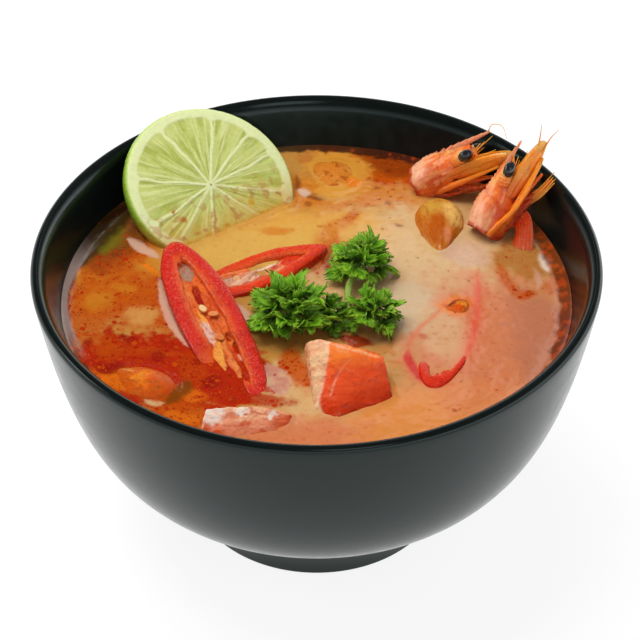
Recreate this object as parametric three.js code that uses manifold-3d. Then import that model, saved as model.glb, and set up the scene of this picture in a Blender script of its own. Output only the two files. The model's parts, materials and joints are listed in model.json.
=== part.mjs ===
// Tom yum soup in its footed bowl, with everything that floats or leans in it.
// Millimetres, +Z up. The origin is the centre of the foot's underside, and the
// bowl's lip is about 82 mm above it. +Y is the far side of the bowl.

import * as THREE from 'three';
import { mergeVertices } from 'three/addons/utils/BufferGeometryUtils.js';
import { ConvexGeometry } from 'three/addons/geometries/ConvexGeometry.js';
import Module from 'manifold-3d';

const wasm = await Module();
wasm.setup();

// ---------------------------------------------------------------- dimensions

const CLEARANCE = 0.35; // free gap round every piece that sits in or on another

const BOWL = {
  sectors: 40,
  lipRadius: 75,
  lipOuterHeight: 80.6,
  lipCrest: { radius: 73.6, height: 82.3 },
  lipInner: { radius: 70.8, height: 79 },
  outerLean: 81.3, // degrees from level, of the outer wall at the lip
  outerFlare: 32.5, // degrees from level, of the outer wall at the foot
  innerLean: 73, // degrees from level, of the inner wall at the lip
  floorHeight: 15,
  foot: { bottomRadius: 35.2, topRadius: 35.9, height: 14, innerRadius: 30.5, recess: 8, chamfer: 0.9 },
};

const SOUP_LEVEL = 68.2;

const LIME = {
  radius: 24.35,
  thickness: 5,
  centre: [-29.2, 40.7, 75.45], // middle of the upper cut face
  tilt: 30.5, // degrees that the cut face leans off level
  azimuth: -55, // degrees from +X of the way it leans towards
  segments: 10,
  pulpDip: 0.45, // pulp below the membranes that part the segments
};

const CHILLI = {
  front: {
    from: [-14.8, -41.4, 66.9], to: [-39.2, 18.6, 72.3], roll: -4,
    width: 17.2, bow: 0.9, wall: 4.1, endWall: 8.5,
  },
  back: {
    from: [-34.5, -0.2, 66.1], to: [2.8, 20.4, 69.6], roll: -6,
    width: 15.2, bow: 0, wall: 3, endWall: 6.8,
  },
  right: {
    from: [29.3, -36.4, 67.3], to: [41.4, 7.0, 66.1], roll: 3,
    width: 14.2, bow: 0, wall: 2.7, endWall: 6.2,
  },
  thickness: 4,
  sag: 0.8, // fall of the cut face from its middle to its ends
  coreHalfWidth: 1.7,
};

const PARSLEY = {
  left: { centre: [-7.0, -11.2, 72.2], radius: 13.4, leaflets: 10, seed: 11 },
  middle: { centre: [2.8, -10.6, 71.0], radius: 7.8, leaflets: 4, seed: 41 },
  top: { centre: [12.4, 10.0, 71.8], radius: 10.6, leaflets: 7, seed: 23 },
  right: { centre: [15.2, -10.6, 71.5], radius: 9.6, leaflets: 7, seed: 37 },
  leafThickness: 0.9,
  stemRadius: 0.9,
  stem: [[11.4, 8.2, 71.4], [8.7, 1.5, 71.6], [8.6, -8.5, 71.4], [13.4, -10.4, 71.4]],
};

const PRAWN = {
  left: { cut: [28.3, 49.2, 69.2], eyes: [42.4, 47.0, 80.9], dorsal: [-0.56, 0.53, 0.63], spineRise: 3.1 },
  right: { cut: [45.8, 27.5, 69.0], eyes: [53.2, 36.0, 84.5], dorsal: [-0.89, 0.28, 0.34], spineRise: 0.6 },
};

const MUSSEL = {
  back: {
    from: [33.5, 19.9, 67.4], to: [33.9, 40.2, 69.3],
    width: 12, height: 8, taper: 0.45, ridges: 4, seed: 5,
  },
  front: {
    from: [-54.2, -27.4, 65.8], to: [-36.6, -38.6, 66.4],
    width: 12.6, height: 7.6, taper: 0.32, ridges: 3, seed: 9,
  },
};

const MUSHROOM = { centre: [4.3, 54.4, 62.6], radius: 9.4, height: 6.6, tilt: 9, azimuth: -98, sectors: 14 };

// Corners of the two fish chunks, above the soup first and then below it.
const SALMON_MIDDLE = [
  [0.8, -29.2, 79.3], [3.4, -30.6, 79.0], [-2.9, -28.6, 77.3],
  [17.2, -32.6, 75.4], [-3.2, -25.6, 74.0], [16.4, -28.4, 73.4],
  [20.2, -40.4, 68.2], [5.0, -48.4, 68.2], [0.8, -46.6, 68.2], [-0.9, -43.0, 68.2],
  [19.4, -37.4, 63.6], [2.4, -44.8, 63.6], [0.2, -41.6, 63.6], [15.2, -26.4, 63.6], [-2.6, -24.8, 63.6],
];
const SALMON_FRONT = [
  [-28.0, -47.6, 71.6], [-13.0, -46.4, 71.3], [-5.8, -47.2, 69.0],
  [-29.4, -54.6, 67.6], [-20.5, -59.4, 66.6], [-9.8, -57.4, 66.6],
  [-26.6, -46.0, 62.2], [-9.2, -45.0, 62.2], [-12.4, -53.6, 61.8], [-25.6, -52.6, 61.8],
];

const CHILLI_SCRAP = { from: [34.4, -4.6, 67.6], to: [39.6, -2.8, 68.0], width: 4.2, height: 2.6 };

// ------------------------------------------------------------------ finishes

/** A standard material from a colour, a roughness and a metalness. */
function finish(color, roughness, metalness = 0) {
  return new THREE.MeshStandardMaterial({ color, roughness, metalness });
}

const FINISH = {
  glaze: finish(0x35383a, 0.4),
  broth: finish(0xd08a4c, 0.12),
  lime: finish(0xc3cf6a, 0.35),
  chilli: finish(0xd4382a, 0.25),
  parsley: finish(0x4c8a1e, 0.45),
  salmon: finish(0xe2683a, 0.35),
  mussel: finish(0xd08a2e, 0.3),
  mushroom: finish(0xd9923c, 0.3),
  prawn: finish(0xdf7a4a, 0.3),
};

// ---------------------------------------------------------- geometry helpers

/** A repeatable draw between 0 and 1 from a whole-number seed. */
function seededDraw(seed) {
  let state = seed >>> 0;
  return () => {
    state = (state + 0x6d2b79f5) >>> 0;
    let mixed = Math.imul(state ^ (state >>> 15), 1 | state);
    mixed = (mixed + Math.imul(mixed ^ (mixed >>> 7), 61 | mixed)) ^ mixed;
    return ((mixed ^ (mixed >>> 14)) >>> 0) / 4294967296;
  };
}

const vector = (xyz) => new THREE.Vector3(...xyz);
const radians = THREE.MathUtils.degToRad;

/** Smooth unevenness between about -1 and 1 at a point, with bumps of the given size. */
function unevenness(point, size, seed) {
  const [x, y, z] = [point.x / size, point.y / size, point.z / size];
  return (
    Math.sin(2.1 * x + 1.3 * y + seed) * Math.cos(1.7 * z - 0.9 * y + 2 * seed) * 0.6
    + Math.sin(3.7 * y - 2.3 * z + 3 * seed) * Math.cos(2.9 * x + 1.9 * z) * 0.4
  );
}

/** Six times the signed volume of an indexed mesh: positive when its faces point out. */
function signedVolume(positions, triangles) {
  const [a, b, c] = [new THREE.Vector3(), new THREE.Vector3(), new THREE.Vector3()];
  let sum = 0;
  for (let i = 0; i < triangles.length; i += 3) {
    a.fromArray(positions, 3 * triangles[i]);
    b.fromArray(positions, 3 * triangles[i + 1]);
    c.fromArray(positions, 3 * triangles[i + 2]);
    sum += a.dot(b.cross(c));
  }
  return sum;
}

/** Merges a closed geometry's shared vertices, drops flat triangles and turns the faces outward. */
function welded(geometry) {
  const bare = geometry.clone();
  bare.deleteAttribute('normal');
  bare.deleteAttribute('uv');
  const merged = mergeVertices(bare, 1e-4);
  const index = merged.index.array;
  const triangles = [];
  for (let i = 0; i < index.length; i += 3) {
    const [a, b, c] = [index[i], index[i + 1], index[i + 2]];
    if (a !== b && b !== c && c !== a) triangles.push(a, b, c);
  }
  if (signedVolume(merged.attributes.position.array, triangles) < 0) triangles.reverse();
  merged.setIndex(triangles);
  return merged;
}

/** A closed geometry as a manifold solid, each vertex moved out by the given growth. */
function solid(geometry, growth = 0) {
  const mesh = welded(geometry);
  const positions = Float32Array.from(mesh.attributes.position.array);
  if (growth > 0) {
    mesh.computeVertexNormals();
    const normals = mesh.attributes.normal.array;
    positions.forEach((value, i) => {
      positions[i] = value + growth * normals[i];
    });
  }
  return new wasm.Manifold(new wasm.Mesh({
    numProp: 3,
    vertProperties: positions,
    triVerts: Uint32Array.from(mesh.index.array),
  }));
}

/** Joins several solids into one. */
function union(solids) {
  return solids.reduce((joined, next) => joined.add(next));
}

/** The largest of a solid's separate bodies. */
function largestBody(whole) {
  return whole.decompose().reduce((best, body) => (body.volume() > best.volume() ? body : best));
}

/** A manifold solid's surface as a three.js geometry. */
function geometryOf(body) {
  const { vertProperties, triVerts } = body.getMesh();
  const geometry = new THREE.BufferGeometry();
  geometry.setAttribute('position', new THREE.BufferAttribute(Float32Array.from(vertProperties), 3));
  geometry.setIndex(new THREE.BufferAttribute(Uint32Array.from(triVerts), 1));
  geometry.computeVertexNormals();
  return geometry;
}

/** A pose whose X axis runs between two points and whose Z axis stays nearest to `up`. */
function poseAlong(from, to, up, originShare = 0.5) {
  const start = vector(from);
  const end = vector(to);
  const xAxis = end.clone().sub(start).normalize();
  const yAxis = vector(up).cross(xAxis).normalize();
  const zAxis = xAxis.clone().cross(yAxis);
  return new THREE.Matrix4().makeBasis(xAxis, yAxis, zAxis).setPosition(start.lerp(end, originShare));
}

/** A pose whose Z axis leans by `tilt` degrees off +Z towards the azimuth. */
function poseLeaning(centre, tilt, azimuth) {
  const turn = new THREE.Matrix4().makeRotationZ(radians(azimuth));
  const lean = new THREE.Matrix4().makeRotationY(radians(tilt));
  return turn.multiply(lean).setPosition(vector(centre));
}

/** A closed surface through rings of equally many points, capped at both ends or joined end to end. */
function skin(rings, joined = false) {
  const sides = rings[0].length;
  const points = rings.flat();
  const triangles = [];
  const spans = joined ? rings.length : rings.length - 1;
  for (let i = 0; i < spans; i += 1) {
    const here = i * sides;
    const next = ((i + 1) % rings.length) * sides;
    for (let j = 0; j < sides; j += 1) {
      const k = (j + 1) % sides;
      triangles.push(here + j, here + k, next + k, here + j, next + k, next + j);
    }
  }
  if (!joined) {
    const last = (rings.length - 1) * sides;
    for (let j = 1; j < sides - 1; j += 1) {
      triangles.push(0, j + 1, j, last, last + j, last + j + 1);
    }
  }
  const geometry = new THREE.BufferGeometry().setFromPoints(points);
  geometry.setIndex(triangles);
  return geometry;
}

/** A thin wavy solid over a grid of u (0 to 1) and v (-1 to 1), both faces split alike. */
function sheet(uSteps, vSteps, thickness, surface) {
  const faceAt = (side) => {
    const points = [];
    for (let i = 0; i <= uSteps; i += 1) {
      for (let j = 0; j <= vSteps; j += 1) {
        const point = surface(i / uSteps, (2 * j) / vSteps - 1);
        points.push(point.setZ(point.z + (side * thickness) / 2));
      }
    }
    return points;
  };
  const row = vSteps + 1;
  const count = row * (uSteps + 1);
  const triangles = [];
  for (let i = 0; i < uSteps; i += 1) {
    for (let j = 0; j < vSteps; j += 1) {
      const a = i * row + j;
      triangles.push(a, a + row, a + row + 1, a, a + row + 1, a + 1);
      triangles.push(count + a, count + a + row + 1, count + a + row, count + a, count + a + 1, count + a + row + 1);
    }
  }
  const rim = [];
  for (let j = 0; j < vSteps; j += 1) rim.push(j);
  for (let i = 0; i < uSteps; i += 1) rim.push(i * row + vSteps);
  for (let j = vSteps; j > 0; j -= 1) rim.push(uSteps * row + j);
  for (let i = uSteps; i > 0; i -= 1) rim.push(i * row);
  rim.forEach((a, i) => {
    const b = rim[(i + 1) % rim.length];
    triangles.push(a, b, count + b, a, count + b, count + a);
  });
  const geometry = new THREE.BufferGeometry().setFromPoints([...faceAt(1), ...faceAt(-1)]);
  geometry.setIndex(triangles);
  return geometry;
}

/** A limb that tapers between two radii along a smooth line through the given points. */
function limb(points, startRadius, endRadius, sides = 6, steps = 5) {
  const line = new THREE.CatmullRomCurve3(points.map(vector));
  const { normals, binormals } = line.computeFrenetFrames(steps, false);
  const rings = normals.map((normal, i) => {
    const centre = line.getPoint(i / steps);
    const radius = THREE.MathUtils.lerp(startRadius, endRadius, i / steps);
    return Array.from({ length: sides }, (_, j) => {
      const angle = (2 * Math.PI * j) / sides;
      return centre.clone()
        .addScaledVector(normal, radius * Math.cos(angle))
        .addScaledVector(binormals[i], radius * Math.sin(angle));
    });
  });
  return skin(rings);
}

/** A convex chunk through its corners, each face split and roughened. */
function roughChunk(corners, splits, relief, seed) {
  let faces = new ConvexGeometry(corners.map(vector));
  for (let level = 0; level < splits; level += 1) faces = splitInFour(faces);
  const chunk = welded(faces);
  chunk.computeVertexNormals();
  const position = chunk.attributes.position;
  const normal = chunk.attributes.normal;
  for (let i = 0; i < position.count; i += 1) {
    const point = new THREE.Vector3().fromBufferAttribute(position, i);
    const outward = new THREE.Vector3().fromBufferAttribute(normal, i);
    point.addScaledVector(outward, relief * unevenness(point, 2.2, seed));
    position.setXYZ(i, point.x, point.y, point.z);
  }
  return chunk;
}

/** Splits every triangle of an unindexed geometry at the middles of its edges. */
function splitInFour(geometry) {
  const source = geometry.attributes.position;
  const points = [];
  for (let i = 0; i < source.count; i += 3) {
    const [a, b, c] = [0, 1, 2].map((k) => new THREE.Vector3().fromBufferAttribute(source, i + k));
    const ab = a.clone().lerp(b, 0.5);
    const bc = b.clone().lerp(c, 0.5);
    const ca = c.clone().lerp(a, 0.5);
    points.push(a, ab, ca, ab, b, bc, ca, bc, c, ab, bc, ca);
  }
  return new THREE.BufferGeometry().setFromPoints(points);
}

/** A solid of revolution about +Z from points of radius and height. */
function turned(profile, sectors) {
  return new THREE.LatheGeometry(profile, sectors).rotateX(Math.PI / 2);
}

/** A direction in the profile's plane, leaning by degrees from level. */
function profileDirection(degrees) {
  return new THREE.Vector2(Math.cos(radians(degrees)), Math.sin(radians(degrees)));
}

// ------------------------------------------------------------- bowl and soup

const WALL_STEPS = 7; // facets down the inner wall

/** The inner wall from the lip's inside edge down to the middle of the floor. */
function innerWallPoints(steps) {
  const { lipInner, innerLean, floorHeight } = BOWL;
  const edge = new THREE.Vector2(lipInner.radius, lipInner.height);
  const wallPull = 42;
  const floorPull = 42;
  return new THREE.CubicBezierCurve(
    edge,
    edge.clone().addScaledVector(profileDirection(innerLean), -wallPull),
    new THREE.Vector2(floorPull, floorHeight),
    new THREE.Vector2(0, floorHeight),
  ).getPoints(steps);
}

/** The bowl's closed outline: recessed foot, flared outside, round lip and inner wall. */
function bowlProfile() {
  const { foot, lipRadius, lipOuterHeight, lipCrest, lipInner, outerLean, outerFlare, innerLean } = BOWL;
  const footPull = 24.4;
  const lipPull = 57.1;
  const lipRoundPull = 1.4;
  const junction = new THREE.Vector2(foot.topRadius, foot.height);
  const lipOuter = new THREE.Vector2(lipRadius, lipOuterHeight);
  const lipInside = new THREE.Vector2(lipInner.radius, lipInner.height);
  const crest = new THREE.Vector2(lipCrest.radius, lipCrest.height);
  const outside = new THREE.CubicBezierCurve(
    junction,
    junction.clone().addScaledVector(profileDirection(outerFlare), footPull),
    lipOuter.clone().addScaledVector(profileDirection(outerLean), -lipPull),
    lipOuter,
  );
  const outerRound = new THREE.QuadraticBezierCurve(
    lipOuter,
    new THREE.Vector2(lipRadius + 0.1, lipCrest.height),
    crest,
  );
  const innerRound = new THREE.CubicBezierCurve(
    crest,
    new THREE.Vector2(lipCrest.radius - lipRoundPull, lipCrest.height),
    lipInside.clone().addScaledVector(profileDirection(innerLean), lipRoundPull),
    lipInside,
  );
  return [
    new THREE.Vector2(0, foot.recess),
    new THREE.Vector2(foot.innerRadius - 1, foot.recess),
    new THREE.Vector2(foot.innerRadius, foot.chamfer),
    new THREE.Vector2(foot.innerRadius + foot.chamfer, 0),
    new THREE.Vector2(foot.bottomRadius - foot.chamfer, 0),
    new THREE.Vector2(foot.bottomRadius, foot.chamfer),
    ...outside.getPoints(7),
    ...outerRound.getPoints(3).slice(1),
    ...innerRound.getPoints(3).slice(1),
    ...innerWallPoints(WALL_STEPS).slice(1),
  ];
}

/** The soup's outline: a hair inside the bowl's inner wall, flat at the soup's level. */
function soupProfile() {
  const wall = innerWallPoints(WALL_STEPS);
  const inset = wall.map((point, i) => {
    const before = wall[Math.max(i - 1, 0)];
    const after = wall[Math.min(i + 1, wall.length - 1)];
    const along = after.clone().sub(before).normalize();
    return new THREE.Vector2(point.x + along.y * CLEARANCE, point.y - along.x * CLEARANCE);
  });
  const firstWet = inset.findIndex((point) => point.y < SOUP_LEVEL);
  const [dry, wet] = [inset[firstWet - 1], inset[firstWet]];
  const edge = dry.clone().lerp(wet, (dry.y - SOUP_LEVEL) / (dry.y - wet.y));
  const below = inset.slice(firstWet, -1);
  return [
    new THREE.Vector2(0, SOUP_LEVEL),
    edge,
    ...below,
    new THREE.Vector2(0, BOWL.floorHeight + CLEARANCE),
  ];
}

// ------------------------------------------------------------------- garnish

/** A lime slice: rind rim, pale pith ring and segments that dip between membranes. */
function limeSlice() {
  const { radius, thickness, segments, pulpDip } = LIME;
  const pulpEdge = 0.86 * radius;
  const profile = [
    [0, -thickness], [0.93 * radius, -thickness], [0.99 * radius, -0.8 * thickness],
    [radius, -0.5 * thickness], [0.985 * radius, -0.12 * thickness], [0.955 * radius, 0],
    [pulpEdge, 0], [0.75 * radius, 0], [0.15 * radius, 0], [0, 0],
  ].map(([r, z]) => new THREE.Vector2(r, z));
  const stepsPerSegment = 4;
  const slice = turned(profile, segments * stepsPerSegment);
  const position = slice.attributes.position;
  for (let i = 0; i < position.count; i += 1) {
    const r = Math.hypot(position.getX(i), position.getY(i));
    const turn = Math.atan2(position.getY(i), position.getX(i)) / (2 * Math.PI);
    const step = Math.round(turn * segments * stepsPerSegment);
    const onMembrane = ((step % stepsPerSegment) + stepsPerSegment) % stepsPerSegment === 0;
    const onPulp = r > 0.2 * radius && r < 0.8 * radius && position.getZ(i) > -0.1;
    if (onPulp && !onMembrane) position.setZ(i, position.getZ(i) - pulpDip);
  }
  return slice;
}

/** A chilli ring's outline at an angle: an ellipse, pointed at its far end and bowed to one side. */
function ringOutline(angle, halfLength, halfWidth, point, bow) {
  const taper = 1 - point * Math.max(0, Math.cos(angle)) ** 2;
  return [halfLength * Math.cos(angle), halfWidth * Math.sin(angle) * taper + bow * Math.sin(angle) ** 2];
}

/** An oblique slice of a hollow chilli: a long ring of wall, thicker at its ends. */
function chilliRing({ halfLength, halfWidth, wall, endWall, point, bow }) {
  const steps = 24;
  const half = CHILLI.thickness / 2;
  const innerHalfLength = halfLength - endWall;
  const innerHalfWidth = halfWidth - wall;
  // Share of the way from the outer to the inner outline, and height, round the wall's section.
  const section = [[0, 0.6], [-0.06, 0], [0, -0.6], [0.5, -1], [1, -0.5], [1, 0.6], [0.5, 1]];
  const rings = Array.from({ length: steps }, (_, i) => {
    const angle = (2 * Math.PI * i) / steps;
    const [outerX, outerY] = ringOutline(angle, halfLength, halfWidth, point, bow);
    const [innerX, innerY] = ringOutline(angle, innerHalfLength, innerHalfWidth, point, bow);
    return section.map(([inward, height]) => {
      const x = THREE.MathUtils.lerp(outerX, innerX, inward);
      const y = THREE.MathUtils.lerp(outerY, innerY, inward);
      return new THREE.Vector3(x, y, height * half - CHILLI.sag * (x / halfLength) ** 2);
    });
  });
  return skin(rings, true);
}

/** The seed-bearing strip that runs down the middle of a chilli ring, from one end wall. */
function chilliCore(halfLength, reach, halfWidth) {
  const steps = 6;
  const rings = Array.from({ length: steps + 1 }, (_, i) => {
    const share = i / steps;
    const x = THREE.MathUtils.lerp(-0.85 * halfLength, reach * halfLength, share);
    const sway = 0.8 * Math.sin(5 * share);
    const width = halfWidth * (1 - 0.6 * share * share);
    return [[-1, -0.9], [1, -0.9], [0.8, 0.2], [0, 0.9], [-0.8, 0.2]].map(
      ([across, up]) => new THREE.Vector3(x, sway + across * width, up * 1.1 - 0.3),
    );
  });
  return skin(rings);
}

/** A flat pale seed lying at a place on a chilli's core. */
function chilliSeed(x, y, turn) {
  return new THREE.IcosahedronGeometry(1, 0).scale(1.7, 1.2, 0.7).rotateZ(turn).translate(x, y, 0.7);
}

/** One curly leaflet: a fan with three lobes, folded along its middle and wavy at its edge. */
function leaflet(length, width, fold, wave) {
  return sheet(2, 4, PARSLEY.leafThickness, (u, v) => {
    const lobes = 1 - 0.22 * Math.abs(Math.sin(1.5 * Math.PI * v)) * u;
    const spread = width * (0.18 + 0.82 * u ** 0.8);
    const x = length * u * (1 - 0.3 * v * v) * lobes;
    const y = spread * v * 0.5;
    const z = fold * Math.abs(v) * u + wave * Math.sin(4 * v + 3 * u) * u;
    return new THREE.Vector3(x, y, z);
  });
}

/** A curly parsley head: leaflets that spring from one knot and fill a flattened dome. */
function parsleyHead(head) {
  const draw = seededDraw(head.seed);
  const knot = new THREE.IcosahedronGeometry(0.24 * head.radius, 0).scale(1, 1, 0.8);
  const golden = Math.PI * (3 - Math.sqrt(5));
  const leaves = Array.from({ length: head.leaflets }, (_, i) => {
    const share = (i + 0.5) / head.leaflets;
    const rise = radians(THREE.MathUtils.lerp(78, -14, share ** 0.8));
    const length = head.radius * (0.86 + 0.2 * draw());
    const width = head.radius * (0.66 + 0.2 * draw());
    const blade = leaflet(length, width, 0.16 * head.radius, 0.8 + 0.5 * draw());
    return blade
      .rotateX((draw() - 0.5) * 1.4)
      .rotateY(-rise)
      .rotateZ(i * golden + 0.5 * draw());
  });
  return [knot, ...leaves].map((piece) => piece.translate(...head.centre));
}

/** A lump of shellfish meat: a teardrop with long soft ridges. */
function musselMeat({ width, height, taper, ridges, seed }, length) {
  const meat = new THREE.IcosahedronGeometry(1, 2);
  const position = meat.attributes.position;
  for (let i = 0; i < position.count; i += 1) {
    const point = new THREE.Vector3().fromBufferAttribute(position, i);
    const narrow = 1 + taper * point.x;
    const ridge = 1 + 0.05 * Math.cos(ridges * Math.atan2(point.y, point.z) * 2);
    const bump = 1 + 0.05 * unevenness(point, 0.35, seed);
    position.setXYZ(
      i,
      (point.x * length * bump) / 2,
      (point.y * width * narrow * ridge * bump) / 2,
      (point.z * height * narrow * ridge * bump) / 2,
    );
  }
  return meat;
}

/** A mushroom cap with a rolled lip, round side up. */
function mushroomCap() {
  const { radius, height } = MUSHROOM;
  const dome = new THREE.CubicBezierCurve(
    new THREE.Vector2(0, height),
    new THREE.Vector2(0.6 * radius, height),
    new THREE.Vector2(1.02 * radius, 0.75 * height),
    new THREE.Vector2(radius, 0.12 * height),
  ).getPoints(5);
  const under = [[0.9, -0.06], [0.7, 0.1], [0, 0.2]];
  return turned(
    [...dome, ...under.map(([r, z]) => new THREE.Vector2(r * radius, z * height))],
    MUSHROOM.sectors,
  );
}

// -------------------------------------------------------------- prawn's head

// In the head's own frame +X runs from the cut to the eyes, and +Z is the back.
const SHELL = { length: 20, halfHeight: 5.9, halfWidth: 4.7, rearSlant: 0.5 };

/** The head's shell: egg-shaped sections with a keeled back, narrowing to the eyes. */
function prawnShell() {
  const steps = 5;
  const sides = 10;
  const rings = Array.from({ length: steps + 1 }, (_, i) => {
    const share = i / steps;
    const swell = 0.86 + 0.14 * Math.sin(Math.PI * Math.min(1, 1.6 * share));
    const taper = swell * (1 - 0.62 * share ** 2.2);
    const lift = 0.6 * share ** 2;
    return Array.from({ length: sides }, (_, j) => {
      const angle = (2 * Math.PI * j) / sides;
      const keel = 1 - 0.35 * Math.max(0, Math.cos(angle)) ** 2;
      return new THREE.Vector3(
        SHELL.length * share + SHELL.rearSlant * Math.cos(angle) * (1 - share),
        SHELL.halfWidth * taper * Math.sin(angle) * keel,
        SHELL.halfHeight * taper * Math.cos(angle) + lift,
      );
    });
  });
  return skin(rings);
}

/** The toothed spine along the back that ends in a long point between the eyes. */
function prawnSpine(rise) {
  const teeth = 6;
  const start = { x: 5, z: 4.9 };
  const tip = { x: 27, z: rise };
  const toothHeight = 0.9;
  const outline = new THREE.Shape();
  outline.moveTo(start.x, start.z - 1.8);
  for (let i = 0; i < teeth; i += 1) {
    const near = i / teeth;
    const crest = (i + 0.7) / teeth;
    const bow = (share) => 0.9 * Math.sin(Math.PI * share);
    const heightAt = (share) => THREE.MathUtils.lerp(start.z, tip.z, share) + bow(share);
    outline.lineTo(THREE.MathUtils.lerp(start.x, tip.x, near), heightAt(near));
    outline.lineTo(THREE.MathUtils.lerp(start.x, tip.x, crest), heightAt(crest) + toothHeight * (1 - 0.7 * near));
  }
  outline.lineTo(tip.x, tip.z);
  outline.lineTo(0.7 * tip.x, Math.min(tip.z, 1.6) - 0.6);
  const thickness = 1;
  return new THREE.ExtrudeGeometry(outline, { depth: thickness, bevelEnabled: false })
    .translate(0, 0, -thickness / 2)
    .rotateX(Math.PI / 2);
}

/** A stalked eye on one side of the head. */
function prawnEye(side) {
  const place = [18.6, side * 3.9, 0.5];
  const ball = new THREE.SphereGeometry(2, 8, 6).translate(...place);
  const stalk = limb([[15.5, side * 0.8, 0.4], [17.2, side * 2.5, 0.4], place], 0.9, 1.2, 5, 2);
  return [ball, stalk];
}

/** The broad blade beside the feelers on one side of the head. */
function prawnBlade(side) {
  const root = { x: 12, z: -2.6 };
  const reach = 17.5;
  const droop = 3;
  return sheet(4, 2, 1, (u, v) => {
    const width = 4.8 * Math.sin(Math.PI * (0.14 + 0.78 * u)) ** 0.7;
    return new THREE.Vector3(root.x + reach * u, v * width * 0.5 - side * droop * u, 0.5 * v * v);
  })
    .rotateX(side * radians(66))
    .translate(0, side * 2.8, root.z);
}

/** Feeding limbs held forward under the blades. */
function prawnFeeders() {
  return [-1, 1].flatMap((side) => [
    limb([[5, side * 1.6, -4.4], [14, side * 2.2, -5.4], [25, side * 1.4, -6.6]], 1.4, 0.5, 4, 3),
    limb([[8, side * 0.8, -4.6], [16, side * 1.2, -6.6], [21, side * 0.6, -8.2]], 1.2, 0.45, 4, 3),
  ]);
}

/** Walking legs that hang from the belly down into the soup. */
function prawnHangingLegs() {
  return [
    limb([[9.0, 0, -4.6], [6.2, -2.4, -8.6], [0.0, -5.6, -11.2]], 2.0, 1.5, 5, 3),
    limb([[11.0, -0.6, -4.8], [9.0, -2.6, -9.2], [2.8, -6.2, -12.6]], 2.0, 1.5, 5, 3),
    limb([[7.0, 0.6, -4.4], [3.4, -1.6, -7.8], [-2.6, -4.0, -9.4]], 1.9, 1.3, 5, 3),
  ];
}

/** Thin legs that stick out past the bowl's lip. */
function prawnRaisedLegs() {
  return [
    limb([[10, -0.6, -4.8], [16, -2.2, -8.6], [22.4, -3.8, -10.6]], 1, 0.45, 4, 3),
    limb([[9, -0.4, -5.0], [14, -2.8, -9.6], [20.0, -4.4, -12.0]], 1, 0.45, 4, 3),
  ];
}

/** A prawn's head, with or without its bundle of walking legs. */
function prawnHead(spineRise, withLegs) {
  const bothSides = [-1, 1].flatMap((side) => [...prawnEye(side), prawnBlade(side)]);
  const legs = withLegs ? [...prawnHangingLegs(), ...prawnRaisedLegs()] : [];
  return [prawnShell(), prawnSpine(spineRise), ...bothSides, ...prawnFeeders(), ...legs];
}

// ------------------------------------------------------------------ assembly

/** A piece of garnish: the closed geometries it is joined from, its pose and its material. */
class Garnish {
  constructor(name, geometries, pose, material) {
    this.name = name;
    this.geometries = geometries;
    this.pose = pose;
    this.material = material;
    this.cutters = [];
  }

  /** The joined solid in its own frame, grown by the given amount. */
  joined(growth = 0) {
    return union(this.geometries.map((geometry) => solid(geometry, growth)));
  }

  /** The joined solid in the bowl's frame, grown by the clearance: what its neighbours give way to. */
  room() {
    return this.joined(CLEARANCE).transform(this.pose.elements);
  }

  /** Makes this piece give way to other pieces that it touches. */
  giveWayTo(...others) {
    this.cutters.push(...others.map((other) => other.room()));
    return this;
  }

  /** The named mesh, cut by its neighbours and set at its place. */
  mesh() {
    const intoOwnFrame = this.pose.clone().invert().elements;
    const cut = this.cutters.reduce(
      (body, cutter) => body.subtract(cutter.transform(intoOwnFrame)),
      this.joined(),
    );
    const mesh = new THREE.Mesh(geometryOf(largestBody(cut)), this.material);
    mesh.name = this.name;
    this.pose.decompose(mesh.position, mesh.quaternion, mesh.scale);
    return mesh;
  }
}

/** A chilli ring between two places, with its core and seeds. */
function chilli(name, { from, to, width, bow, roll, wall, endWall }, { point, coreReach, seeds }) {
  const halfLength = vector(from).distanceTo(vector(to)) / 2;
  const sizes = { halfLength, halfWidth: width / 2, wall, endWall, point, bow };
  const pose = poseAlong(from, to, [0, 0, 1]).multiply(new THREE.Matrix4().makeRotationX(radians(roll)));
  const pieces = [chilliRing(sizes)];
  if (coreReach !== undefined) pieces.push(chilliCore(halfLength, coreReach, CHILLI.coreHalfWidth));
  pieces.push(...seeds.map(([x, y, turn]) => chilliSeed(x, y, turn)));
  return new Garnish(name, pieces, pose, FINISH.chilli);
}

/** A parsley sprig: its heads and the stems that join them, given in the bowl's frame. */
function parsley(name, heads, stems) {
  const { stemRadius } = PARSLEY;
  const stalks = stems.map((points) => limb(points, stemRadius, stemRadius, 6, 5));
  return new Garnish(name, [...heads.flatMap(parsleyHead), ...stalks], new THREE.Matrix4(), FINISH.parsley);
}

/** A lump of mussel meat between two places. */
function mussel(name, lump) {
  const length = vector(lump.from).distanceTo(vector(lump.to)) + 1;
  return new Garnish(name, [musselMeat(lump, length)], poseAlong(lump.from, lump.to, [0, 0, 1]), FINISH.mussel);
}

/** A prawn's head at its place. */
function prawn(name, { cut, eyes, dorsal, spineRise }, withLegs) {
  return new Garnish(name, prawnHead(spineRise, withLegs), poseAlong(cut, eyes, dorsal, 0), FINISH.prawn);
}

/** A chunk given by its corners in the bowl's frame. */
function chunk(name, corners, seed) {
  return new Garnish(name, [roughChunk(corners, 1, 0.3, seed)], new THREE.Matrix4(), FINISH.salmon);
}

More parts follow.
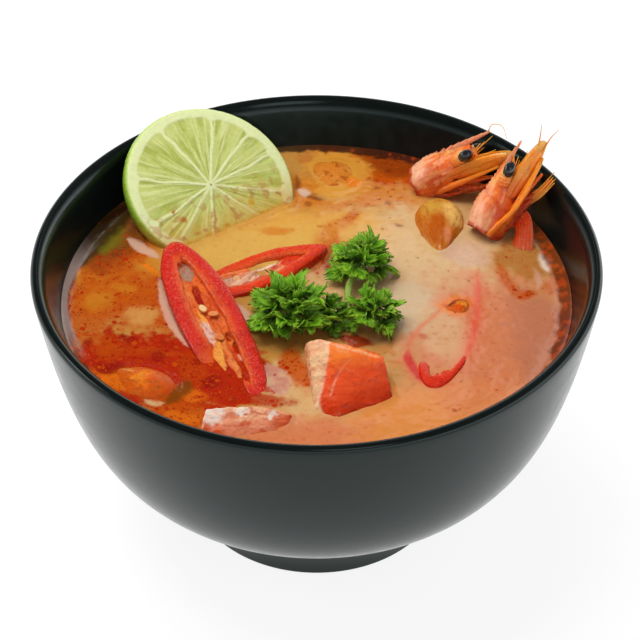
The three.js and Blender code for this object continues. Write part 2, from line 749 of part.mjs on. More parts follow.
const lime = new Garnish(
  'lime_slice',
  [limeSlice()],
  poseLeaning(LIME.centre, LIME.tilt, LIME.azimuth),
  FINISH.lime,
);
const chilliFront = chilli('chilli_front', CHILLI.front, {
  point: 0,
  coreReach: 0.35,
  seeds: [[-7, 0.9, 0.5], [1.5, -0.6, 1.4], [6, 1.1, 0.2]],
});
const chilliBack = chilli('chilli_back', CHILLI.back, {
  point: 0.45,
  coreReach: -0.1,
  seeds: [[-6, 0.4, 0.9]],
}).giveWayTo(chilliFront);
const chilliRight = chilli('chilli_right', CHILLI.right, { point: 0, seeds: [] });
const scrapLength = vector(CHILLI_SCRAP.from).distanceTo(vector(CHILLI_SCRAP.to));
const chilliScrap = new Garnish(
  'chilli_scrap',
  [new THREE.IcosahedronGeometry(1, 1).scale(scrapLength / 2, CHILLI_SCRAP.width / 2, CHILLI_SCRAP.height / 2)],
  poseAlong(CHILLI_SCRAP.from, CHILLI_SCRAP.to, [0, 0, 1]),
  FINISH.chilli,
).giveWayTo(chilliRight);
const salmonMiddle = chunk('salmon_middle', SALMON_MIDDLE, 3);
const salmonFront = chunk('salmon_front', SALMON_FRONT, 8);
const mushroom = new Garnish(
  'mushroom_cap',
  [mushroomCap()],
  poseLeaning(MUSHROOM.centre, MUSHROOM.tilt, MUSHROOM.azimuth),
  FINISH.mushroom,
);
const prawnLeft = prawn('prawn_head_left', PRAWN.left, false);
const prawnRight = prawn('prawn_head_right', PRAWN.right, true).giveWayTo(prawnLeft);
const musselBack = mussel('mussel_back', MUSSEL.back).giveWayTo(prawnLeft, prawnRight);
const musselFront = mussel('mussel_front', MUSSEL.front);

const parsleyLeft = parsley(
  'parsley_left',
  [PARSLEY.left, PARSLEY.middle],
  [[PARSLEY.left.centre, PARSLEY.middle.centre]],
);
const parsleyRight = parsley('parsley_right', [PARSLEY.top, PARSLEY.right], [PARSLEY.stem]);

const sunk = [
  lime, chilliFront, chilliBack, chilliRight, chilliScrap, salmonMiddle, salmonFront,
  mushroom, prawnLeft, prawnRight, musselBack, musselFront,
];

const soupWhole = new Garnish('soup', [turned(soupProfile(), BOWL.sectors)], new THREE.Matrix4(), FINISH.broth);
soupWhole.giveWayTo(...sunk);

// Parsley floats: it gives way to the whole soup and to whatever it lies against.
parsleyLeft.giveWayTo(soupWhole, chilliBack, chilliFront, salmonMiddle);
parsleyRight.giveWayTo(soupWhole, chilliBack, parsleyLeft, salmonMiddle);

/** The empty bowl as a named mesh. */
function bowlMesh() {
  const mesh = new THREE.Mesh(geometryOf(solid(turned(bowlProfile(), BOWL.sectors))), FINISH.glaze);
  mesh.name = 'bowl';
  return mesh;
}

const contents = new THREE.Group();
contents.add(soupWhole.mesh());
sunk.forEach((piece) => contents.add(piece.mesh()));
[parsleyLeft, parsleyRight].forEach((piece) => contents.add(piece.mesh()));

const tomYum = new THREE.Group();
tomYum.add(bowlMesh(), contents);

export default tomYum;
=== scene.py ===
"""Tom yum soup in its footed black bowl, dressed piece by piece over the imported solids.

Lengths are worked out in millimetres in the bowl's frame: the origin is the centre of the foot's
underside, +Z is up and +Y is the far side. A mesh is turned into metres when it is made.
"""

from __future__ import annotations

import itertools
import json
import logging
import math
from dataclasses import dataclass
from enum import Enum

import bpy
import numpy as np
from mathutils import Matrix

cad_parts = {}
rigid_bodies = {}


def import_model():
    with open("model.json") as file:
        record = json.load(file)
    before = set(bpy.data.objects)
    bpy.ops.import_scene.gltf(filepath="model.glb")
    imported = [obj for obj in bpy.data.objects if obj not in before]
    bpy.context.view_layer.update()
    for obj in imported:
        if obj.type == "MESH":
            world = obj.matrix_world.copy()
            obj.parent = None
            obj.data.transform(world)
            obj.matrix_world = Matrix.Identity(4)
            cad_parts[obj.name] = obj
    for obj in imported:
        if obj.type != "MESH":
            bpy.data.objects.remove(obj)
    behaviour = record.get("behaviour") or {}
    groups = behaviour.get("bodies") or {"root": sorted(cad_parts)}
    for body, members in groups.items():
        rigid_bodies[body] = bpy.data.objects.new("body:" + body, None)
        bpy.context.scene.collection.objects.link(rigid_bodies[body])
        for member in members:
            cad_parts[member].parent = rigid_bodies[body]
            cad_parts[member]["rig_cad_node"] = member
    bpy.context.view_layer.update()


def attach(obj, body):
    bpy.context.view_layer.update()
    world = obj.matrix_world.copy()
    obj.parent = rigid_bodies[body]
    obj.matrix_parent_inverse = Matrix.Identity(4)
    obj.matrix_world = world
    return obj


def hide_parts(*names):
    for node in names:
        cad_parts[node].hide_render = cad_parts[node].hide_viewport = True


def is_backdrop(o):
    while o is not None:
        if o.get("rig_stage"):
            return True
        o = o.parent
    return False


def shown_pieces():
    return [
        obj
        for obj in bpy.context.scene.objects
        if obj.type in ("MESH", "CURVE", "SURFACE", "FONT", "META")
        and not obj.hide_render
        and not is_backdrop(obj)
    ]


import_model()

Array = np.ndarray
Colour = tuple[float, float, float]

MM = 0.001
SOUP_LEVEL = 68.2
UP = (0, 0, 1)
LOG = logging.getLogger("tom_yum")


# ------------------------------------------------------------------ numbers


def paint(red: int, green: int, blue: int) -> Colour:
    """A linear colour from the 0 to 255 values that a screen shows.

    Args:
        red, green, blue: the channels, from 0 to 255.

    Returns:
        The linear channels, from 0 to 1.
    """
    shares = np.array([red, green, blue]) / 255
    linear = np.where(shares <= 0.04045, shares / 12.92, ((shares + 0.055) / 1.055) ** 2.4)
    return tuple(float(value) for value in linear)


def paints(*colours: tuple) -> list[Colour]:
    """Several linear colours at once."""
    return [paint(*colour) for colour in colours]


def unit(vectors: Array) -> Array:
    """Vectors divided by their lengths."""
    vectors = np.asarray(vectors, float)
    return vectors / np.maximum(np.linalg.norm(vectors, axis=-1, keepdims=True), 1e-12)


def ease(values: Array, low: float, high: float) -> Array:
    """0 at low and 1 at high with a soft start and end: t²(3 − 2t)."""
    t = np.clip((np.asarray(values, float) - low) / (high - low), 0, 1)
    return t * t * (3 - 2 * t)


def mix(first: Array, second: Array, share: Array) -> Array:
    """first + (second − first) · share."""
    first = np.asarray(first, float)
    return first + (np.asarray(second, float) - first) * share


def lay(tone: Array, colour: Array, share: Array) -> Array:
    """A colour laid over a tone, with one share for each point."""
    return mix(tone, colour, np.asarray(share)[..., None])


def turns(count: int) -> Array:
    """Even angles round a circle."""
    return np.arange(count) * 2 * np.pi / count


def bump(values: Array, middle: float, reach: float) -> Array:
    """A bell that is 1 at its middle: e^(−((v − middle) / reach)²)."""
    return np.exp(-(((values - middle) / reach) ** 2))


def bezier(p0: Array, p1: Array, p2: Array, p3: Array, count: int) -> Array:
    """Points of a cubic Bézier curve: Σ C(3, k) (1 − t)^(3−k) t^k pₖ.

    Args:
        p0: the start.
        p1: the start's handle.
        p2: the end's handle.
        p3: the end.
        count: how many points to give.

    Returns:
        The points, one a row.
    """
    t = np.linspace(0, 1, count)[:, None]
    p0, p1, p2, p3 = (np.asarray(p, float) for p in (p0, p1, p2, p3))
    return (1 - t) ** 3 * p0 + 3 * (1 - t) ** 2 * t * p1 + 3 * (1 - t) * t**2 * p2 + t**3 * p3


def lattice_noise(points: Array, size: float, seed: int) -> Array:
    """Smooth noise from 0 to 1: hashed values of a cubic lattice, blended with t²(3 − 2t).

    Args:
        points: places, with X, Y and Z last.
        size: the lattice's step.
        seed: picks the pattern.

    Returns:
        A number from 0 to 1 for each place.
    """
    scaled = np.asarray(points, float) / size
    cell = np.floor(scaled).astype(np.int64)
    t = scaled - cell
    t = t * t * (3 - 2 * t)
    total = np.zeros(scaled.shape[:-1])
    for corner in itertools.product((0, 1), repeat=3):
        index = cell + np.array(corner)
        mixed = index[..., 0] * 73856093 ^ index[..., 1] * 19349663 ^ index[..., 2] * 83492791
        mixed = (mixed ^ seed * 2654435761) & 0xFFFFFFFF
        mixed = (mixed ^ mixed >> 15) * 739982445 & 0xFFFFFFFF
        mixed = (mixed ^ mixed >> 12) * 695872825 & 0xFFFFFFFF
        value = ((mixed ^ mixed >> 15) & 0xFFFFFF) / 0xFFFFFF
        total += value * np.prod(np.where(corner, t, 1 - t), axis=-1)
    return total


def cloud(points: Array, size: float, seed: int, octaves: int = 4) -> Array:
    """Layered noise from 0 to 1: Σ noise(p · 2ᵏ) / 2ᵏ over the octaves.

    Args:
        points: places, with X, Y and Z last.
        size: the step of the coarsest layer.
        seed: picks the pattern.
        octaves: how many layers.

    Returns:
        A number from 0 to 1 for each place.
    """
    total, weight = np.zeros(points.shape[:-1]), 0.0
    for k in range(octaves):
        total += lattice_noise(points, size / 2**k, seed + 17 * k) / 2**k
        weight += 1 / 2**k
    return total / weight


def swell(points: Array, size: float, seed: int, octaves: int = 3) -> Array:
    """Layered noise from about −1 to 1."""
    return 2 * cloud(points, size, seed, octaves) - 1


def spline(points: Array, count: int) -> Array:
    """A smooth line through points: Catmull-Rom, ½(2b + (c−a)t + (2a−5b+4c−d)t² + (3b−3c+d−a)t³).

    Args:
        points: the places to pass through, one a row.
        count: how many points to give.

    Returns:
        The line's points, one a row.
    """
    p = np.asarray(points, float)
    p = np.vstack([2 * p[0] - p[1], p, 2 * p[-1] - p[-2]])
    place = np.linspace(0, len(p) - 3, count)
    k = np.minimum(place.astype(int), len(p) - 4)
    t = (place - k)[:, None]
    a, b, c, d = p[k], p[k + 1], p[k + 2], p[k + 3]
    return 0.5 * (2 * b + (c - a) * t + (2 * a - 5 * b + 4 * c - d) * t**2 + (3 * b - 3 * c + d - a) * t**3)


def oval(dx: Array, dy: Array, length: float, width: float, turn: float) -> Array:
    """The distance from an oval's middle over its reach that way, the oval turned by degrees."""
    c, s = math.cos(math.radians(turn)), math.sin(math.radians(turn))
    return np.hypot((c * dx + s * dy) / length, (c * dy - s * dx) / width)


@dataclass(frozen=True)
class Pose:
    """An own frame set in the bowl's frame: rows X, Y and Z, and an origin in millimetres."""

    axes: Array
    origin: Array

    @classmethod
    def along(cls, start: Array, end: Array, up: Array, share: float, roll: float = 0.0) -> Pose:
        """X runs from start to end and Z stays nearest to up, turned about X by roll degrees.

        Args:
            start, end: the ends of the own X axis.
            up: the way that the own Z stays near.
            share: where between the ends the origin lies.
            roll: a turn about X, in degrees.

        Returns:
            The pose.
        """
        start, end = np.array(start, float), np.array(end, float)
        x = unit(end - start)
        y = unit(np.cross(up, x))
        z = np.cross(x, y)
        c, s = math.cos(math.radians(roll)), math.sin(math.radians(roll))
        return cls(np.array([x, c * y + s * z, c * z - s * y]), start + share * (end - start))

    @classmethod
    def leaning(cls, centre: Array, tilt: float, azimuth: float) -> Pose:
        """Z leans by tilt degrees off +Z towards the azimuth.

        Args:
            centre: the origin.
            tilt: how far Z leans, in degrees.
            azimuth: which way it leans, in degrees from +X.

        Returns:
            The pose.
        """
        t, a = math.radians(tilt), math.radians(azimuth)
        x = [math.cos(t) * math.cos(a), math.cos(t) * math.sin(a), -math.sin(t)]
        y = [-math.sin(a), math.cos(a), 0.0]
        return cls(np.array([x, y, np.cross(x, y)]), np.array(centre, float))

    def carry(self, points: Array) -> Array:
        """Points of the own frame in the bowl's frame: p · axes + origin."""
        return np.asarray(points, float) @ self.axes + self.origin


# ------------------------------------------------------------------ surfaces


def sweep(path: Array, radii: Array, sides: int, up: tuple = UP, flat: float = 1.0) -> Array:
    """Rings along a path: p + r(cos a · n + flat · sin a · b), n = t × up, b = n × t.

    Args:
        path: the middle line, one point a row.
        radii: one radius, or one for each point.
        sides: points in a ring.
        up: a way that the path never takes.
        flat: a ring's height over its width.

    Returns:
        Rings × sides × 3 points.
    """
    path = np.asarray(path, float)
    tangent = unit(np.gradient(path, axis=0))
    side = unit(np.cross(tangent, np.asarray(up, float)))
    rise = np.cross(side, tangent)
    angle = turns(sides)[None, :, None]
    reach = np.broadcast_to(np.asarray(radii, float), (len(path),))[:, None, None]
    return path[:, None] + reach * (np.cos(angle) * side[:, None] + flat * np.sin(angle) * rise[:, None])


def revolve(profile: Array, columns: int) -> Array:
    """A grid turned about +Z: (r cos a, r sin a, z).

    Args:
        profile: rows of radius and height.
        columns: how many steps round.

    Returns:
        Rows × columns × 3 points.
    """
    angle = turns(columns)
    r, z = profile[:, :1], profile[:, 1:]
    return np.stack([r * np.cos(angle), r * np.sin(angle), np.broadcast_to(z, (len(r), columns))], -1)


def globe(rows: int, columns: int) -> Array:
    """Unit directions on rows of latitude, both poles left out: (sin b cos a, sin b sin a, cos b)."""
    a, b = turns(columns)[None], (np.arange(rows) + 0.5)[:, None] * np.pi / rows
    return np.stack([np.sin(b) * np.cos(a), np.sin(b) * np.sin(a), np.cos(b) + 0 * a], -1)


class Patchwork:
    """The points, faces and point values of one piece, gathered from many grids."""

    def __init__(self) -> None:
        """Starts with nothing in it."""
        self.points: list[Array] = []
        self.faces: list[Array] = []
        self.values: dict[str, list[Array]] = {}
        self.count = 0

    def _gather(self, points: Array, faces: Array, values: dict[str, Array]) -> None:
        """Adds points, faces that count from nought, −1 for no corner, and point values.

        Args:
            points: one a row.
            faces: four corners a row.
            values: named numbers or colours, one row for each point.
        """
        self.points.append(points)
        self.faces.append(np.where(faces < 0, -1, faces + self.count))
        for key, value in values.items():
            self.values.setdefault(key, []).append(value)
        self.count += len(points)

    def grid(
        self,
        points: Array,
        rows_joined: bool = False,
        columns_joined: bool = False,
        caps: bool = False,
        **values: Array | float,
    ) -> None:
        """Adds a grid of quads; a closed one is turned so that its faces point out.

        Args:
            points: rows × columns × 3, in millimetres.
            rows_joined: the last row meets the first.
            columns_joined: the last column meets the first.
            caps: the first and the last row are closed by a fan round their middle.
            values: named numbers or colours, one for each point or one for all.
        """
        rows, columns = points.shape[:2]
        number = np.arange(rows * columns).reshape(rows, columns)
        flat = points.reshape(-1, 3)
        named = {
            key: np.broadcast_to(value, (rows, columns) + np.shape(value)[2:]).reshape(len(flat), -1)
            for key, value in values.items()
        }
        if rows_joined:
            number = np.vstack([number, number[:1]])
        if columns_joined:
            number = np.hstack([number, number[:, :1]])
        corners = (number[:-1, :-1], number[:-1, 1:], number[1:, 1:], number[1:, :-1])
        faces = [np.stack(corners, -1).reshape(-1, 4)]
        if caps:
            for row, first, second in ((number[0], 0, 1), (number[-1], 1, 0)):
                middle, blank = np.full(len(row) - 1, len(flat)), np.full(len(row) - 1, -1)
                flat = np.vstack([flat, flat[row[:columns]].mean(0)])
                named = {k: np.vstack([v, v[row[:columns]].mean(0)]) for k, v in named.items()}
                pair = (row[:-1], row[1:])
                faces.append(np.stack([middle, pair[first], pair[second], blank], -1))
        block = np.vstack(faces)
        if columns_joined and (caps or rows_joined) and self._volume(flat, block) < 0:
            block = np.where(block[:, 3:] < 0, block[:, [0, 2, 1, 3]], block[:, ::-1])
        self._gather(flat, block, named)

    def tube(self, points: Array, **values: Array | float) -> None:
        """Adds a grid whose columns meet and whose first and last rows are closed."""
        self.grid(points, columns_joined=True, caps=True, **values)

    def crowd(self, points: Array, **values: Array) -> None:
        """Adds many alike tubes at once.

        Args:
            points: things × rows × columns × 3, in millimetres.
            values: named colours, one for each thing.
        """
        pattern = Patchwork()
        pattern.tube(points[0])
        block, each, things = pattern.faces[0], pattern.count, len(points)
        middles = (points[:, :1].mean(2), points[:, -1:].mean(2))
        flat = np.concatenate([points.reshape(things, -1, 3), *middles], 1)
        faces = np.where(block < 0, -1, block + each * np.arange(things)[:, None, None])
        named = {key: np.repeat(value, each, axis=0) for key, value in values.items()}
        self._gather(flat.reshape(-1, 3), faces.reshape(-1, 4), named)

    @staticmethod
    def _volume(points: Array, block: Array) -> float:
        """Six times the volume inside the faces: Σ a · (b × c) over their triangles.

        Args:
            points: one a row.
            block: faces, four corners a row.

        Returns:
            Six times the volume, below nought where the faces point in.
        """
        a, b, c = (points[block[:, k]] for k in range(3))
        total = np.einsum("ij,ij->", a, np.cross(b, c))
        quads = block[block[:, 3] >= 0]
        a, c, d = (points[quads[:, k]] for k in (0, 2, 3))
        return float(total + np.einsum("ij,ij->", a, np.cross(c, d)))

    def build(self, name: str) -> bpy.types.Object:
        """Makes the smooth mesh object, in metres, with its values as attributes.

        Args:
            name: the object's name.

        Returns:
            The new object, linked to the scene.
        """
        points, faces = np.vstack(self.points) * MM, np.vstack(self.faces)
        used = faces >= 0
        starts = np.concatenate([[0], np.cumsum(used.sum(1))[:-1]])
        mesh = bpy.data.meshes.new(name)
        mesh.vertices.add(len(points))
        mesh.vertices.foreach_set("co", points.astype(np.float32).ravel())
        mesh.loops.add(int(used.sum()))
        mesh.loops.foreach_set("vertex_index", faces[used].astype(np.int32))
        mesh.polygons.add(len(faces))
        mesh.polygons.foreach_set("loop_start", starts.astype(np.int32))
        mesh.update(calc_edges=True)
        mesh.validate()
        for key, parts in self.values.items():
            value, kind, field = np.vstack(parts), "FLOAT", "value"
            if value.shape[1] == 3:
                value, kind, field = np.hstack([value, np.ones((len(value), 1))]), "FLOAT_COLOR", "color"
            mesh.attributes.new(key, kind, "POINT").data.foreach_set(field, value.astype(np.float32).ravel())
        mesh.shade_smooth()
        piece = bpy.data.objects.new(name, mesh)
        bpy.context.scene.collection.objects.link(piece)
        return piece


def install(piece: bpy.types.Object, dressing: Dressing, node: str) -> None:
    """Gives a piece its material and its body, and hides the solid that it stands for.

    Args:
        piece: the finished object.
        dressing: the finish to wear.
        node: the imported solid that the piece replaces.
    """
    piece.data.materials.clear()
    piece.data.materials.append(dressing.material)
    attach(piece, "root")
    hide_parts(node)
    LOG.info("%s: %d points", piece.name, len(piece.data.vertices))


def install_tube(name: str, points: Array, dressing: Dressing, slot: str, node: str, **values: Array | float) -> None:
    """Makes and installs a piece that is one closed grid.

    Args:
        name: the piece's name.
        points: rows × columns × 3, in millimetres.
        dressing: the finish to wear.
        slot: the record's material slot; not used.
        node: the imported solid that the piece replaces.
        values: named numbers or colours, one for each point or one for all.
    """
    work = Patchwork()
    work.tube(points, **values)
    install(work.build(name), dressing, node)


# ------------------------------------------------------------------ finishes


class Dressing:
    """A Principled material and short calls for the nodes that feed it."""

    def __init__(self, name: str, settings: dict[str, object]) -> None:
        """Makes the material with even settings on the shader's own sockets.

        Args:
            name: the material's name.
            settings: Principled socket names and their values.
        """
        self.material = bpy.data.materials.new(name)
        self.material.use_nodes = True
        self.tree = self.material.node_tree
        self.shader = self.tree.nodes["Principled BSDF"]
        self._object = self.put("TexCoord").outputs["Object"]
        for socket, value in settings.items():
            self.feed(self.shader.inputs[socket], value)

    def feed(self, socket: bpy.types.NodeSocket, value: object) -> None:
        """Links another socket to this one, or sets its value.

        Args:
            socket: the input to feed.
            value: a socket, a number or a colour.
        """
        if isinstance(value, bpy.types.NodeSocket):
            self.tree.links.new(value, socket)
        elif socket.type == "RGBA" and len(value) == 3:
            socket.default_value = (*value, 1.0)
        else:
            socket.default_value = value

    def put(self, kind: str, inputs: dict | None = None, **settings: object) -> bpy.types.Node:
        """A new node with its inputs fed and its settings made.

        Args:
            kind: the node's type, without its prefix.
            inputs: what to feed, by input.
            settings: the node's own settings.

        Returns:
            The new node.
        """
        node = self.tree.nodes.new("ShaderNode" + kind)
        for key, value in settings.items():
            setattr(node, key, value)
        for key, value in (inputs or {}).items():
            self.feed(node.inputs[key], value)
        return node

    def _steps(self, size: float) -> bpy.types.NodeSocket:
        """Object coordinates counted in steps of a size in millimetres."""
        return self.put("Mapping", {"Vector": self._object, "Scale": (1 / (size * MM),) * 3}).outputs["Vector"]

    def noise(self, size: float, detail: float = 3, roughness: float = 0.55) -> bpy.types.NodeSocket:
        """Cloudy noise from 0 to 1 with features of a size in millimetres."""
        inputs = {"Vector": self._steps(size), "Scale": 1.0, "Detail": detail, "Roughness": roughness}
        return self.put("TexNoise", inputs).outputs[0]

    def cells(self, size: float) -> bpy.types.Node:
        """Scattered cells of a size in millimetres: their Distance and a Color each."""
        return self.put("TexVoronoi", {"Vector": self._steps(size), "Scale": 1.0})

    def dots(self, size: float, rim: tuple, chosen: tuple) -> bpy.types.NodeSocket:
        """Round dots in some of the cells, soft over a rim, for colours within the chosen band."""
        cell = self.cells(size)
        return self.times(self.band(cell.outputs["Distance"], *rim), self.band(cell.outputs["Color"], *chosen))

    def own(self, name: str, output: str = "Color") -> bpy.types.NodeSocket:
        """A point value of the mesh, as a Color or as a Fac."""
        return self.put("Attribute", attribute_name=name).outputs[output]

    def band(self, value: object, low: float, high: float, to: tuple = (0, 1)) -> bpy.types.NodeSocket:
        """A soft step: the first number at low and the second at high."""
        inputs = {"Value": value, "From Min": low, "From Max": high, "To Min": to[0], "To Max": to[1]}
        return self.put("MapRange", inputs, interpolation_type="SMOOTHSTEP").outputs["Result"]

    def sum(self, *parts: tuple) -> bpy.types.NodeSocket:
        """Σ weight · value over pairs of a socket and a weight.

        Args:
            parts: pairs of a socket and a weight.

        Returns:
            The socket that holds the sum.
        """
        total = 0.0
        for value, weight in parts:
            total = self.put("Math", {0: value, 1: weight, 2: total}, operation="MULTIPLY_ADD").outputs[0]
        return total

    def times(self, first: object, second: object) -> bpy.types.NodeSocket:
        """The product of two values."""
        return self.put("Math", {0: first, 1: second}, operation="MULTIPLY").outputs[0]

    def blend(self, share: object, first: object, second: object) -> bpy.types.NodeSocket:
        """A colour between two colours."""
        return self.put("Mix", {0: share, 6: first, 7: second}, data_type="RGBA").outputs[2]

    def relief(self, height: object, depth: float) -> None:
        """A bump whose height of 1 stands proud by the depth in millimetres."""
        raised = self.put("Bump", {"Height": height, "Distance": depth * MM, "Strength": 1.0})
        self.feed(self.shader.inputs["Normal"], raised.outputs["Normal"])

    def colour(self, value: object) -> None:
        """Sets or feeds the base colour."""
        self.feed(self.shader.inputs["Base Color"], value)

    def gloss(self, size: float, detail: float, band: tuple, to: tuple) -> None:
        """An uneven roughness: noise of a size, softly stepped over a band to two numbers."""
        self.feed(self.shader.inputs["Roughness"], self.band(self.noise(size, detail), *band, to))


@dataclass(frozen=True)
class Moist:
    """How light enters and leaves a wet food: its depth of glow in millimetres and its gloss."""

    glow: float = 0.2
    depth: float = 1.2
    spread: Colour = (1.0, 0.45, 0.25)
    gloss: float = 0.25
    film: float = 0.0
    shine: float = 0.4

    def settings(self) -> dict[str, object]:
        """The Principled settings that give this light."""
        return {
            "Roughness": self.gloss,
            "Specular IOR Level": self.shine,
            "Subsurface Weight": self.glow,
            "Subsurface Radius": self.spread,
            "Subsurface Scale": self.depth * MM,
            "Coat Weight": self.film,
            "Coat Roughness": 0.08,
        }


@dataclass(frozen=True)
class SatinGlaze:
    """A black glaze with a soft sheen and fine unevenness."""

    dark: Colour = paint(9, 13, 12)
    light: Colour = paint(15, 21, 20)

    def make(self) -> Dressing:
        """Builds the material.

        Returns:
            The glaze.
        """
        dress = Dressing("satin_glaze", {"Specular IOR Level": 0.28, "Specular Tint": (0.78, 1.0, 0.96, 1.0)})
        dress.colour(dress.blend(dress.noise(9, 4), self.dark, self.light))
        dress.gloss(3.5, 4, (0.25, 0.75), (0.14, 0.22))
        dress.relief(dress.sum((dress.noise(0.6, 3), 0.2), (dress.noise(14, 2), 1.0)), 0.03)
        return dress


@dataclass(frozen=True)
class OilyBroth:
    """Creamy broth under red oil: the mesh's own tone, with droplets and specks over it."""

    speck: Colour = paint(105, 25, 4)
    ember: Colour = paint(190, 62, 8)

    def make(self) -> Dressing:
        """Builds the material.

        Returns:
            The broth.
        """
        light = Moist(glow=0.12, depth=1.5, spread=(1.0, 0.5, 0.2), gloss=0.1, shine=0.5)
        dress = Dressing("oily_broth", light.settings() | {"IOR": 1.4})
        oil = dress.own("oil", "Fac")
        drop = dress.dots(2.3, (0.36, 0.22), (0.5, 0.62))
        crumb = dress.dots(0.85, (0.34, 0.16), (0.62, 0.7))
        crumb = dress.times(crumb, dress.band(oil, 0.2, 0.8, (0.1, 0.85)))
        cloudy = dress.band(dress.noise(1.6, 5, 0.7), 0.42, 0.68)
        cloudy = dress.times(cloudy, dress.band(oil, 0.1, 0.9, (0.16, 0.62)))
        base = dress.blend(cloudy, dress.own("tone"), dress.own("deep"))
        base = dress.blend(dress.times(drop, dress.times(oil, 0.75)), base, self.ember)
        dress.colour(dress.blend(crumb, base, self.speck))
        dress.relief(dress.sum((drop, 0.05), (crumb, 0.03), (dress.noise(7, 2), 0.7)), 0.25)
        return dress


@dataclass(frozen=True)
class CitrusFlesh:
    """A lime's cut face and rind: the mesh's own tone with pores in the rind."""

    light: Moist = Moist(glow=0.35, depth=2.2, spread=(0.8, 1.0, 0.35), gloss=0.3)

    def make(self) -> Dressing:
        """Builds the material.

        Returns:
            The lime.
        """
        dress = Dressing("citrus_flesh", self.light.settings())
        dress.colour(dress.own("tone"))
        pore = dress.band(dress.cells(0.9).outputs["Distance"], 0.3, 0.1)
        pore = dress.times(pore, dress.own("rind", "Fac"))
        dress.relief(dress.sum((pore, -0.5), (dress.noise(0.5, 3), 0.35)), 0.16)
        dress.gloss(1.2, 3, (0.3, 0.7), (0.2, 0.38))
        return dress


@dataclass(frozen=True)
class ChilliFlesh:
    """A wet cut of chilli: the mesh's own tone, with pale specks where it is cut."""

    speck: Colour = paint(244, 142, 120)
    vein: Colour = paint(176, 20, 10)

    def make(self) -> Dressing:
        """Builds the material.

        Returns:
            The chilli.
        """
        dress = Dressing("chilli_cut", Moist(glow=0.16, depth=0.9, gloss=0.24, film=0.2).settings())
        dot = dress.dots(0.5, (0.42, 0.2), (0.45, 0.6))
        veins = dress.times(dress.band(dress.noise(1.1, 4, 0.65), 0.5, 0.66), 0.55)
        base = dress.blend(veins, dress.own("tone"), self.vein)
        specks = dress.times(dot, dress.times(dress.own("cut", "Fac"), 0.4))
        dress.colour(dress.blend(specks, base, self.speck))
        dress.relief(dress.sum((dress.noise(0.45, 3, 0.6), 0.7), (dot, 0.4)), 0.12)
        dress.gloss(0.8, 3, (0.3, 0.7), (0.14, 0.34))
        return dress


@dataclass(frozen=True)
class ToneFlesh:
    """A moist flesh that wears the mesh's own tone, mottled and grained."""

    name: str
    light: Moist
    mottle: Colour
    grain: float = 0.5
    depth: float = 0.12
    share: float = 0.35

    def make(self) -> Dressing:
        """Builds the material.

        Returns:
            The flesh.
        """
        dress = Dressing(self.name, self.light.settings())
        patches = dress.times(dress.band(dress.noise(self.grain * 3, 4, 0.6), 0.45, 0.7), self.share)
        dress.colour(dress.blend(patches, dress.own("tone"), self.mottle))
        dress.relief(dress.noise(self.grain, 3, 0.6), self.depth)
        dress.gloss(self.grain * 2, 3, (0.3, 0.7), (0.6 * self.light.gloss, 1.4 * self.light.gloss))
        return dress


# ---------------------------------------------------------------------- bowl


@dataclass(frozen=True)
class Bowl:
    """The footed bowl, turned from its outline."""

    lip_radius: float = 75.0
    lip_outer_height: float = 80.6
    crest: tuple = (73.6, 82.3)
    lip_inner: tuple = (70.8, 79.0)
    outer_lean: float = 81.3
    outer_flare: float = 32.5
    inner_lean: float = 73.0
    floor_height: float = 15.0
    foot_bottom: float = 35.2
    foot_top: float = 35.9
    foot_height: float = 14.0
    foot_inner: float = 30.5
    foot_recess: float = 8.0
    columns: int = 288

    @staticmethod
    def _direction(degrees: float) -> Array:
        """A direction in the outline's plane, leaning by degrees from level."""
        return np.array([math.cos(math.radians(degrees)), math.sin(math.radians(degrees))])

    def inner_wall(self, count: int) -> Array:
        """The inner wall from the lip's inside edge to the middle of the floor.

        Args:
            count: how many points to give.

        Returns:
            Rows of radius and height.
        """
        edge, pull = np.array(self.lip_inner), 42.0
        low = (pull, self.floor_height)
        return bezier(edge, edge - pull * self._direction(self.inner_lean), low, (0, self.floor_height), count)

    def wall_radius(self, height: float) -> float:
        """The inner wall's radius at a height."""
        wall = self.inner_wall(200)[::-1]
        return float(np.interp(height, wall[:, 1], wall[:, 0]))

    def outline(self) -> Array:
        """The closed outline as points of radius and height, from the foot's hollow to the floor.

        Returns:
            Rows of radius and height.
        """
        foot_pull, lip_pull, round_pull, edge = 24.4, 57.1, 1.4, 0.9
        ring, low, recess = self.foot_inner, self.foot_bottom, self.foot_recess
        junction = np.array([self.foot_top, self.foot_height])
        outer = np.array([self.lip_radius, self.lip_outer_height])
        crest, inner = np.array(self.crest), np.array(self.lip_inner)
        flare = junction + foot_pull * self._direction(self.outer_flare)
        lean = outer - lip_pull * self._direction(self.outer_lean)
        over = inner + round_pull * self._direction(self.inner_lean)
        roof = ((ring - 3, recess), (ring - 1.6, recess), (ring - 0.4, recess - 0.6), (ring - 0.3, recess - 2))
        return np.vstack([
            [(1.0, recess)],
            bezier(*roof, 5),
            bezier((ring, edge), (ring, edge / 3), (ring + edge / 3, 0), (ring + edge, 0), 6),
            bezier((low - edge, 0), (low - edge / 3, 0), (low, edge / 3), (low, edge), 6),
            bezier(junction, flare, lean, outer, 64),
            bezier(outer, outer + (0.1, 0.9), (self.lip_radius - 0.5, crest[1]), crest, 12)[1:],
            bezier(crest, (crest[0] - round_pull, crest[1]), over, inner, 12)[1:],
            self.inner_wall(48)[1:-1],
            [(1.0, self.floor_height)],
        ])

    def build(self) -> None:
        """Makes the smooth bowl and glazes it."""
        install_tube("glazed_bowl", revolve(self.outline(), self.columns), SatinGlaze().make(), "glaze", "bowl")


# ---------------------------------------------------------------------- lime


